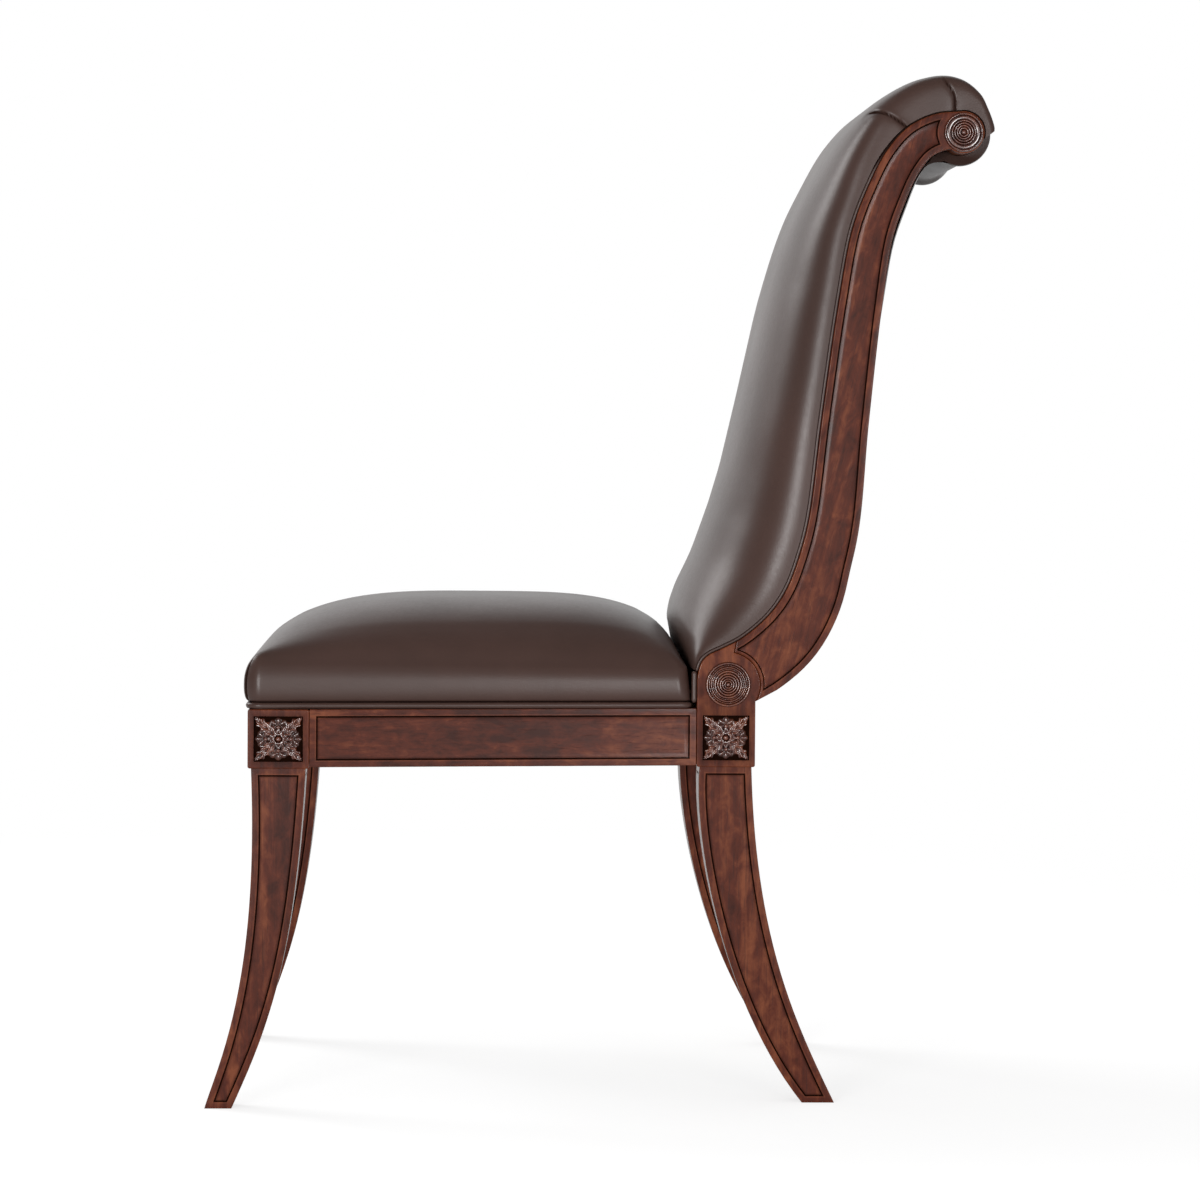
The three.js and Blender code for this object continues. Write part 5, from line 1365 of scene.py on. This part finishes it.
# The rows' spacing, and the closer one from a share on where folds cross them
BACK_SPACING, FOLD_SPACING, FOLDS_FROM = 4.2, 1.25, 0.80

# The two folds at each end of the crest, seen from the side, from the wood to the outline
FOLDS = (
    {"path": ((647.5, 967.2), (644.8, 969.7), (637.9, 974.5), (630.9, 979.4), (622, 983.2),
              (614.1, 985.1), (607.5, 984.0), (602.0, 979.5), (597.5, 973.5)),
     "lip": 1.3, "deep": 3.0, "reach": 40},
    {"path": ((692.7, 984.0), (692.9, 988), (693.1, 995.7), (691, 1003.5), (686, 1011.3),
              (680.5, 1017.5)),
     "lip": 1.0, "deep": 3.0, "reach": 34},
)


def section(across_power, up_power):
    """Half-round section with squared shoulders, as (across, up) points."""
    angle = np.linspace(0, math.pi, 721)
    across = np.sign(np.cos(angle)) * np.abs(np.cos(angle)) ** (2 / across_power)
    return np.column_stack([across, np.abs(np.sin(angle)) ** (2 / up_power)])


def back_rows():
    """The padding's face as a grid of points, after the place and the direction of each of its
    rows on the pad line and the height at which the row starts."""
    shares = np.r_[np.arange(PAD_START, FOLDS_FROM, BACK_SPACING / PAD_LENGTH),
                   np.arange(FOLDS_FROM, 1.0, FOLD_SPACING / PAD_LENGTH), 1.0]
    at = lengths_along(PAD_LINE)
    line = points_along(PAD_LINE, shares * PAD_LENGTH)
    normals = unit(np.stack([
        np.interp(shares * PAD_LENGTH, at, side) for side in left_normals(PAD_LINE).T
    ], 1))
    crown = line + flowing_values(PAD_REACH, shares) * (-BACK_DEPTH, BACK_DEPTH)
    foot = eased(PAD_FOOT, shares)
    base = line + normals * foot[:, None]
    powers = [eased([(row[0], row[k]) for row in SIDE_ROUND], shares, 0.015) for k in (1, 2)]
    rows = []
    for low, high, *power in zip(base, crown, *powers):
        tall = np.linalg.norm(high - low)
        outline = section(*power) * (PAD_HALF, tall)
        along = np.linspace(0, 1, BACK_COLUMNS + 1) * lengths_along(outline)[-1]
        across, rise = points_along(outline, along).T
        rows.append(np.column_stack([across, low + (high - low) * (rise / tall)[:, None]]))
    return line, normals, foot, np.array(rows)


def grid_normals(grid):
    normals = np.cross(np.gradient(grid, axis=1), np.gradient(grid, axis=0))
    return normals / np.maximum(np.linalg.norm(normals, axis=2), 1e-9)[..., None]


def beside(points, path):
    """Distances to the right of a path and along it for points in side view, and its length."""
    at = lengths_along(path)
    near = np.full(len(points), np.inf)
    off, along = np.zeros(len(points)), np.zeros(len(points))
    for i, (start, stop) in enumerate(zip(path, path[1:])):
        run = stop - start
        span = np.linalg.norm(run)
        place = np.clip((points - start) @ run / span**2, 0, 1)
        away = points - (start + place[:, None] * run)
        distance = np.linalg.norm(away, axis=1)
        closer = distance < near
        right = away @ np.array([run[1], -run[0]])
        near = np.where(closer, distance, near)
        off = np.where(closer, np.where(right < 0, -distance, distance), off)
        along = np.where(closer, at[i] + place * span, along)
    return off, along, at[-1]


# The Pleat Depth in millimetres at which the folds are as deep as their table says
PLEAT_UNIT = 3
# Half the width of a fold's step, and how far its lip and its hollow take to fade from it
PLEAT_STEP, LIP_FADE, HOLLOW_FADE = 0.7, 3.6, 2.6
# Where a fold's painted shade is darkest, in its hollow, and how far it reaches under the lip and
# out of it
PLEAT_DARK, DARK_UNDER, DARK_OUT = -0.4, 1.7, 0.7


def pleated(grid):
    """The grid with its folds pressed in, and the painted shade along them."""
    depth = settings("leather").pleat_depth / MM / PLEAT_UNIT
    out = grid_normals(grid)
    centre = grid.mean(axis=1, keepdims=True)
    out *= np.sign(np.sum(out * (grid - centre), axis=2).mean())
    moved, shade = grid.copy(), np.zeros(grid.shape[:2])
    from_side = PAD_HALF - np.abs(grid[..., 0])
    for fold in FOLDS:
        off, along, whole = beside(grid[..., 1:].reshape(-1, 2), flowing_line(fold["path"], 8))
        off, along = off.reshape(shade.shape), along.reshape(shade.shape)
        fade = 1 - smooth_step(from_side, fold["reach"] * 0.3, fold["reach"])
        fade *= 1 - smooth_step(along, whole * 0.86, whole)
        step = smooth_step(off, -PLEAT_STEP, PLEAT_STEP)
        lip = fold["lip"] * np.exp(-np.clip(off, 0, None) / LIP_FADE) * step
        hollow = -fold["deep"] * np.exp(np.clip(off, None, 0) / HOLLOW_FADE) * (1 - step)
        moved += out * ((lip + hollow) * fade * depth)[..., None]
        dark = hump(off, PLEAT_DARK, np.where(off < PLEAT_DARK, DARK_UNDER, DARK_OUT))
        shade = np.maximum(shade, dark * np.sqrt(fade))
    return moved, shade


# Columns of the padding's flat hidden side, out from the middle, and its height over the pad line
HIDDEN_COLUMNS = (205.5, 120)
HIDDEN_HEIGHT = 2.3


def back_cushion():
    """The padding of the inside back, rolled over the crest to its seam behind the scroll."""
    line, normals, foot, grid = back_rows()
    grid, shade = pleated(grid)
    rim = PAD_HALF - 2 * BACK_WELT_RADIUS - FIT

    def edge(x, height):
        flat = line + normals * np.broadcast_to(height, len(line))[:, None]
        return np.column_stack([np.full(len(line), x), flat])[:, None]

    hidden = np.minimum(HIDDEN_HEIGHT, foot)
    wide, narrow = HIDDEN_COLUMNS
    ring = np.concatenate([
        edge(rim, 2 * FIT), edge(rim, foot - FIT), grid,
        edge(-rim, foot - FIT), edge(-rim, 2 * FIT),
        *(edge(x, hidden) for x in (-wide, -narrow, narrow, wide)),
    ], axis=1)
    # The rim by the welt and the hidden side are painted dark as shade
    dark = np.full((len(line), 2), 0.7)
    return tube(ring, np.concatenate([dark, shade, dark, dark, dark], axis=1))


def back_welt():
    """Piping up the edge of the back, thinner where it goes under the crest's lip and painted with
    shade there.
    """
    shares = np.linspace(PAD_START + 0.001, 0.9985, 260)
    line = points_along(PAD_LINE, shares * PAD_LENGTH)
    under = smooth_step(shares, 0.77, 0.83)
    radius = BACK_WELT_RADIUS * (1 - 0.7 * under)
    path = line + left_normals(line) * (radius + FIT)[:, None]
    return cord(np.column_stack([PAD_HALF - radius, path]), radius, (1, 0, 0), 10, 0.9 * under)


# Outside back

# Fullness of the outside back over the stiles' rear edge, as (share, share of the most)
OUTSIDE_RISE = ((0.1, 0.15), (0.5, 0.25), (0.68, 0.8), (0.8, 1), (0.9, 0.6))
OUTSIDE_FULLNESS = 6.5
# The way from the scroll's centre to the crevice between the neck and the roll
TO_CREVICE = -np.array([0.743, 0.669])
# Each side of the leather, as (set in, distance of the crevice, radius of the roll, and its
# seam in degrees)
OUTSIDE_SKINS = (
    (0, 34.4, ROLL_RADIUS, SEAM_DEGREES + 16),
    (LEATHER + FIT, 27.5, ROLL_CORE, SEAM_DEGREES - 4),
)
# How far the outside back stands out in its middle and is drawn in at its edges
MIDDLE_FULLNESS, EDGE_TUCK = 5.0, 1.6
# Where the roll starts on the outside back, where its seam is, and how dark the painted shade is
# underneath it
ROLL_FROM, ROLL_SEAM, ROLL_SHADE = (0.84, 0.9), (0.95, 0.985), 0.54


def outside_lines():
    """Side views of the outside back's face and of its hidden inner side."""
    start = SEAT_DEPTH + LEATHER + 2 * FIT
    shares = np.linspace(STILE_FOOT, 0.915, 40)
    extra = OUTSIDE_FULLNESS * eased(OUTSIDE_RISE, shares, 0.03)
    return [
        np.vstack([
            [(start - inward, BLOCK_TOP + 0.6)], [(start - inward, CORNER_HEIGHT)],
            stile_rear_edge(extra - inward, shares),
            [SCROLL_CENTRE + crevice * TO_CREVICE],
            arc(SCROLL_CENTRE, radius, SCROLL_MEETS_NECK, seam, 30),
        ])
        for inward, crevice, radius, seam in OUTSIDE_SKINS
    ]


def outside_back(columns=36):
    """Leather from the seat rail up between the stiles and round the padded roll."""
    half = REAR_HALF - STILE_THICKNESS - FIT
    shares = np.r_[np.linspace(0, 0.86, 150, endpoint=False), np.linspace(0.86, 1, 60)]
    across = np.cos(np.linspace(0, math.pi, columns + 1))
    across = np.sign(across) * np.abs(across) ** 0.9
    rolled = smooth_step(shares, *ROLL_FROM)[:, None]
    fullness = np.minimum(1, 6 * shares * (1 - shares))[:, None] * (1 - rolled)
    waist = ROLL_WAIST * smooth_step(half * (1 - np.abs(across)), 4, 34) * rolled
    waist = waist * (1 - smooth_step(shares, *ROLL_SEAM))[:, None]
    crown = MIDDLE_FULLNESS * (1 - across**2) * fullness - EDGE_TUCK * np.abs(across) ** 24 - waist
    skins = []
    for sparse, width, bulge in zip(outside_lines(), (half, half - 0.4), (crown, crown * 0)):
        line = points_along(sparse, shares * lengths_along(sparse)[-1])
        flat = line[:, None] - left_normals(line)[:, None] * bulge[..., None]
        x = np.broadcast_to(width * across, crown.shape)
        skins.append(np.concatenate([x[..., None], flat], axis=2))
    # Painted shade under the roll, which also takes its reflections away
    shade = ROLL_SHADE * smooth_step(shares, 0.82, 0.87) * (1 - smooth_step(shares, 0.95, 0.99))
    return tube(np.concatenate([skins[0], skins[1][:, ::-1]], axis=1), shade[:, None])


# Dust cover

# Half widths of the cloth under the seat frame, as (place from the front, half width)
CLOTH_PLAN = ((11.5, 190.0), (60.9, 190.0), (61.1, 243.4), (441.2, 200.6), (441.4, 147.0),
              (488.5, 147.0))
CLOTH_THICKNESS = 0.6
CLOTH_SAG = 2.4
CLOTH_HALF_LENGTH = 238
# The puckers' height, how far in from the edge they reach and how soon they fade
PUCKER, PUCKER_REACH, PUCKER_FADE = 0.3, 40, 26


def dust_cover(columns=72):
    """Thin cloth tacked flat under the frame, slack in its middle and puckered at its edge."""
    places, halves = np.array(CLOTH_PLAN).T
    along = np.unique(np.r_[np.arange(places[0], places[-1], 6.0), places])[:, None]
    half = np.interp(along, places, halves)
    across = np.linspace(-1, 1, columns + 1)
    lengthways = np.clip((along - places[0]) / (places[-1] - places[0]) * 2 - 1, -1, 1)
    x, y = half * across, along + 0 * across
    from_side = (1 - np.abs(across)) * half
    from_end = (1 - np.abs(lengthways)) * CLOTH_HALF_LENGTH
    rim = np.clip(np.minimum(from_side, from_end) / PUCKER_REACH, 0, 1)
    pucker = np.sin(x / 5.2 + 0.7 * np.sin(y / 31)) * hump(from_end, 0, PUCKER_FADE)
    pucker = pucker + np.sin(y / 6.1 + 0.9 * np.sin(x / 23)) * hump(from_side, 0, PUCKER_FADE)
    sag = CLOTH_SAG * ((1 - across**4) * (1 - lengthways**4))
    top = RAIL_BOTTOM - FIT - (sag + PUCKER * (1 + pucker) * rim * (1 - rim) * 4)
    upper, lower = (np.stack([x, y, z], axis=2) for z in (top, top - CLOTH_THICKNESS))
    return tube(np.concatenate([upper, lower[:, ::-1]], axis=1))


# Operators, one for each piece or group of like pieces

class KLISMOS_OT_front_legs(bpy.types.Operator):
    """Front blocks and sabre legs with incised lines"""

    bl_idname = "klismos.front_legs"
    bl_label = "Front Legs"

    def execute(self, context):
        pair("front_post", front_post, "front_leg_{}")
        return {"FINISHED"}


class KLISMOS_OT_rear_legs(bpy.types.Operator):
    """Rear blocks, round heads and sabre legs"""

    bl_idname = "klismos.rear_legs"
    bl_label = "Rear Legs"

    def execute(self, context):
        pair("rear_post", rear_post, "rear_leg_{}")
        return {"FINISHED"}


class KLISMOS_OT_stiles(bpy.types.Operator):
    """Scrolled stiles with hollowed panels"""

    bl_idname = "klismos.stiles"
    bl_label = "Scrolled Stiles"

    def execute(self, context):
        pair("scrolled_stile", stile, "back_stile_{}", along=(0, 0.25, 0.97))
        return {"FINISHED"}


class KLISMOS_OT_rails(bpy.types.Operator):
    """Seat rails with incised panels"""

    bl_idname = "klismos.rails"
    bl_label = "Seat Rails"

    def execute(self, context):
        def side():
            return rail(FRONT_BLOCK_DEPTH + FIT, REAR_BLOCK_FRONT - FIT,
                        lambda y, z: side_rail_x(y), lambda y, z: side_rail_x(y) - RAIL_THICKNESS)

        pair("seat_side_rail", side, "side_rail_{}", along=(0, 1, 0))
        for end, frame_half, face, turn in (
            ("front", FRONT_HALF, -RAIL_SET, front_point),
            ("rear", REAR_HALF, SEAT_DEPTH - RAIL_SET, rear_point),
        ):
            half = frame_half - BLOCK_THICKNESS - FIT
            shell = rail(-half, half, face_x(face), face_x(face - RAIL_THICKNESS))
            shell.points = [turn(points) for points in shell.points]
            piece(f"seat_{end}_rail", shell, [f"{end}_rail"], along=(1, 0, 0))
        return {"FINISHED"}


class KLISMOS_OT_roundels(bpy.types.Operator):
    """Turned roundels on the heads and scrolls"""

    bl_idname = "klismos.roundels"
    bl_label = "Roundels"

    def execute(self, context):
        for name, centre, radius, beads in (
            ("head", HEAD_CENTRE, HEAD_ROUNDEL, HEAD_BEADS),
            ("scroll", SCROLL_CENTRE, SCROLL_ROUNDEL, SCROLL_BEADS),
        ):
            pair(f"{name}_turned_roundel", lambda: roundel(centre, radius, beads),
                 name + "_roundel_{}", "carved_mahogany", along=(1, 0, 0), sharp=60)
        return {"FINISHED"}


class KLISMOS_OT_plaques(bpy.types.Operator):
    """Carved rosettes on the blocks"""

    bl_idname = "klismos.plaques"
    bl_label = "Carved Plaques"

    def execute(self, context):
        def on_side(x, y):
            return lambda across, up, out: np.stack(
                [x + out, y + across, PLAQUE_HEIGHT + up], axis=-1)

        def on_front(across, up, out):
            middle = FRONT_HALF - BLOCK_THICKNESS / 2
            return np.stack([middle + across, -out, PLAQUE_HEIGHT + up], axis=-1)

        for name, half, to_face in (
            ("front_side", FRONT_PLAQUE_HALF, on_side(FRONT_HALF, FRONT_BLOCK_DEPTH / 2)),
            ("front_face", FACE_PLAQUE_HALF, on_front),
            ("rear_side", REAR_PLAQUE_HALF, on_side(REAR_HALF, SEAT_DEPTH - REAR_BLOCK_DEPTH / 2)),
        ):
            pair(f"{name}_carving", lambda: plaque(half, to_face), name + "_plaque_{}",
                 "carved_mahogany", along=(1, 0, 0), sharp=70, weighted=False)
        return {"FINISHED"}


class KLISMOS_OT_seat(bpy.types.Operator):
    """Crowned leather seat"""

    bl_idname = "klismos.seat"
    bl_label = "Seat"

    def execute(self, context):
        seat = piece("seat_cushion", seat_cushion(), ["seat_cover", "seat_foam"],
                     "chocolate_leather", sharp=60, weighted=False)
        settings("leather").seat_fill
        return {"FINISHED"}


class KLISMOS_OT_back(bpy.types.Operator):
    """Padded inside back that rolls over the crest"""

    bl_idname = "klismos.back"
    bl_label = "Inside Back"

    def execute(self, context):
        back = piece("back_cushion", back_cushion(), ["inside_back_cover", "back_foam"],
                     "chocolate_leather", sharp=60, weighted=False)
        settings("leather").back_fill
        return {"FINISHED"}


class KLISMOS_OT_outside_back(bpy.types.Operator):
    """Leather outside back with its roll under the crest"""

    bl_idname = "klismos.outside_back"
    bl_label = "Outside Back"

    def execute(self, context):
        outside = piece("outside_back_leather", outside_back(),
                        ["outside_back_cover", "crest_roll_pad"],
                        "chocolate_leather", sharp=60, weighted=False)
        return {"FINISHED"}


class KLISMOS_OT_welts(bpy.types.Operator):
    """Piped cords round the seat and up the back"""

    bl_idname = "klismos.welts"
    bl_label = "Welts"

    def execute(self, context):
        look = {"finish": "chocolate_leather", "weighted": False, "sharp": 80}
        piece("seat_piping", seat_welt(), ["seat_welt"], **look)
        pair("seat_corner_piping", corner_welt, "seat_corner_welt_{}", **look)
        pair("back_piping", back_welt, "back_welt_{}", **look)
        return {"FINISHED"}


class KLISMOS_OT_dust_cover(bpy.types.Operator):
    """Black cloth stretched under the seat frame"""

    bl_idname = "klismos.dust_cover"
    bl_label = "Dust Cover"

    def execute(self, context):
        cloth = piece("dust_cover_cloth", dust_cover(), ["dust_cover"], "black_dust_cloth",
                      sharp=60, weighted=False)
        return {"FINISHED"}


class KLISMOS_OT_hidden_finishes(bpy.types.Operator):
    """Finishes for the inner wood, screws and webbing"""

    bl_idname = "klismos.hidden_finishes"
    bl_label = "Inner Finishes"

    def execute(self, context):
        finishes = {
            FINISHES[name][0]: name for name in ("inner_hardwood", "screw_steel", "jute_webbing")
        }
        slots = {row["node"]: row["material_slot"] for row in frame["record"]["subparts"]}
        for name, node in frame["nodes"].items():
            if node.hide_render:
                continue
            if slots[name] not in finishes:
                raise RuntimeError(f"{name} has no piece and no finish")
            for place in node.material_slots:
                place.material = kept_finish(finishes[slots[name]])
        return {"FINISHED"}


CAMERA_PLACE = (4420.0, 207.0, 678.0)
CAMERA_YAW, CAMERA_PITCH, CAMERA_ROLL = (math.radians(angle) for angle in (1.88, 2.42, 0.40))
# The lamps as (name, place, size), in metres, and the point that they face
LAMPS = (
    ("front_lamp", (4.1, -1.6, 0.75), (1.3, 0.8)),
    ("top_lamp", (-1.6, -2.4, 2.2), (1.6, 1.6)),
    ("side_lamp", (4.0, 1.7, 0.6), (1.2, 0.8)),
)
LIT_POINT = (0, 0, 0.5)
FLOOR_HALF = 14.0
# The floor's own light, and from where to where it turns into the white background
FLOOR_GLOW = 0.72
FLOOR_FADE = (0.9, 2.6)
# How bright the dim side of the room is in a reflection, and the X at which the floor and the
# world come to be dim and bright
ROOM_DIM = 0.15
FLOOR_SIDES = (-0.2, -1.2)
WORLD_SIDES = (-0.62, -0.90)


class KLISMOS_OT_stage(bpy.types.Operator):
    """Pale floor, soft lamps and the camera"""

    bl_idname = "klismos.stage"
    bl_label = "Stage"

    def execute(self, context):
        stage = settings("stage")
        scene = context.scene
        self.camera(scene, stage)
        self.floor(scene)
        self.world(scene, stage)
        for name, place, size in LAMPS:
            self.lamp(scene, name, place, size, getattr(stage, name))
        scene.view_settings.view_transform = "Standard"
        return {"FINISHED"}

    def camera(self, scene, stage):
        yaw, pitch, roll = CAMERA_YAW, CAMERA_PITCH, CAMERA_ROLL
        forward = Vector((-math.cos(yaw) * math.cos(pitch), math.sin(yaw) * math.cos(pitch),
                          -math.sin(pitch)))
        level = Vector((math.sin(yaw), math.cos(yaw), 0))
        upright = level.cross(forward)
        right = level * math.cos(roll) + upright * math.sin(roll)
        up = upright * math.cos(roll) - level * math.sin(roll)
        data = bpy.data.cameras.new("chair_camera")
        data.sensor_width = 36
        data.lens = stage.lens
        data.clip_end = 100
        camera = bpy.data.objects.new("chair_camera", data)
        scene.collection.objects.link(camera)
        turn = Matrix((right, up, -forward)).transposed().to_4x4()
        x, y, z = CAMERA_PLACE
        camera.matrix_world = Matrix.Translation(Vector((x, y + FRONT_FACE, z)) * MM) @ turn
        scene.camera = camera

    def floor(self, scene):
        half = FLOOR_HALF
        mesh = bpy.data.meshes.new("studio_floor")
        mesh.from_pydata([(-half, -half, 0), (half, -half, 0), (half, half, 0), (-half, half, 0)],
                         [], [(0, 1, 2, 3)])
        floor = bpy.data.objects.new("studio_floor", mesh)
        scene.collection.objects.link(floor)
        material = bpy.data.materials.new("studio_floor")
        mesh.materials.append(material)
        finish = Finish(material)
        place = finish.place()
        tone = finish.mixed(finish.noise(place, 40.0, 2.0), colour(0.50, 0.50, 0.50),
                            colour(0.52, 0.52, 0.52))
        matt = finish.node("ShaderNodeBsdfDiffuse", {"Color": tone}).outputs[0]
        seen = self.seen(finish, place, *FLOOR_SIDES)
        glow, white = (finish.node("ShaderNodeEmission", {"Strength": strength}).outputs[0]
                       for strength in (finish.maths("MULTIPLY", seen, FLOOR_GLOW), 1.0))
        near = finish.node("ShaderNodeAddShader", {0: matt, 1: glow}).outputs[0]
        reach = finish.node("ShaderNodeVectorMath", {0: place}, operation="LENGTH").outputs["Value"]
        away = finish.maths("MULTIPLY", finish.spread(reach, *FLOOR_FADE), seen)
        both = finish.node("ShaderNodeMixShader", {0: away, 1: near, 2: white}).outputs[0]
        finish.node("ShaderNodeOutputMaterial", {"Surface": both})

    def seen(self, finish, place, dim, bright):
        """One for rays from the camera or through glass. A reflection finds the white background
        behind the chair, and a dimmer room where the place's X has passed from bright to dim."""
        rays = finish.node("ShaderNodeLightPath").outputs
        sideways = finish.node("ShaderNodeSeparateXYZ", {0: place}).outputs[0]
        room = finish.spread(sideways, bright, dim, 1.0, ROOM_DIM)
        mirrored = finish.maths("MULTIPLY", rays["Is Glossy Ray"], room)
        direct = finish.maths("MAXIMUM", rays["Is Camera Ray"], rays["Is Transmission Ray"])
        return finish.maths("MAXIMUM", direct, mirrored)

    def world(self, scene, stage):
        scene.world = bpy.data.worlds.new("studio")
        finish = Finish(scene.world)
        direction = finish.node("ShaderNodeTexCoord").outputs["Generated"]
        seen = self.seen(finish, direction, *WORLD_SIDES)
        diffuse = finish.node("ShaderNodeLightPath").outputs["Is Diffuse Ray"]
        light = finish.node("ShaderNodeBackground", {
            "Color": colour(1, 1, 1),
            "Strength": finish.maths("MULTIPLY_ADD", diffuse, stage.fill, seen),
        }).outputs[0]
        finish.node("ShaderNodeOutputWorld", {"Surface": light})

    def lamp(self, scene, name, place, size, power):
        data = bpy.data.lights.new(name, "AREA")
        data.shape = "RECTANGLE"
        data.size, data.size_y = size
        data.energy = power
        lamp = bpy.data.objects.new(name, data)
        scene.collection.objects.link(lamp)
        away = Vector(place) - Vector(LIT_POINT)
        turn = away.to_track_quat("Z", "Y").to_matrix().to_4x4()
        lamp.matrix_world = Matrix.Translation(place) @ turn


OPERATORS = (
    KLISMOS_OT_front_legs, KLISMOS_OT_rear_legs, KLISMOS_OT_stiles, KLISMOS_OT_rails,
    KLISMOS_OT_roundels, KLISMOS_OT_plaques, KLISMOS_OT_seat, KLISMOS_OT_back,
    KLISMOS_OT_outside_back, KLISMOS_OT_welts, KLISMOS_OT_dust_cover,
    KLISMOS_OT_hidden_finishes, KLISMOS_OT_stage,
)
SETTINGS = {
    "klismos_wood": KlismosWoodSettings,
    "klismos_leather": KlismosLeatherSettings,
    "klismos_stage": KlismosStageSettings,
}


class KLISMOS_PT_chair(bpy.types.Panel):
    """The chair's pieces and the sizes and colours that they take"""

    bl_idname = "KLISMOS_PT_chair"
    bl_label = "Klismos Chair"
    bl_space_type = "VIEW_3D"
    bl_region_type = "UI"
    bl_category = "Klismos Chair"

    def draw(self, context):
        for name, group in SETTINGS.items():
            box = self.layout.box()
            for setting in group.__annotations__:
                box.prop(getattr(context.scene, name), setting)
        for operator in OPERATORS:
            self.layout.operator(operator.bl_idname)


def register():
    for group in (*SETTINGS.values(), *OPERATORS, KLISMOS_PT_chair):
        bpy.utils.register_class(group)
    for name, group in SETTINGS.items():
        setattr(bpy.types.Scene, name, bpy.props.PointerProperty(type=group))


def unregister():
    for name in SETTINGS:
        delattr(bpy.types.Scene, name)
    for group in (KLISMOS_PT_chair, *reversed(OPERATORS), *SETTINGS.values()):
        bpy.utils.unregister_class(group)


def main():
    register()
    for operator in OPERATORS:
        family, name = operator.bl_idname.split(".")
        getattr(getattr(bpy.ops, family), name)()


if __name__ == "__main__":
    main()
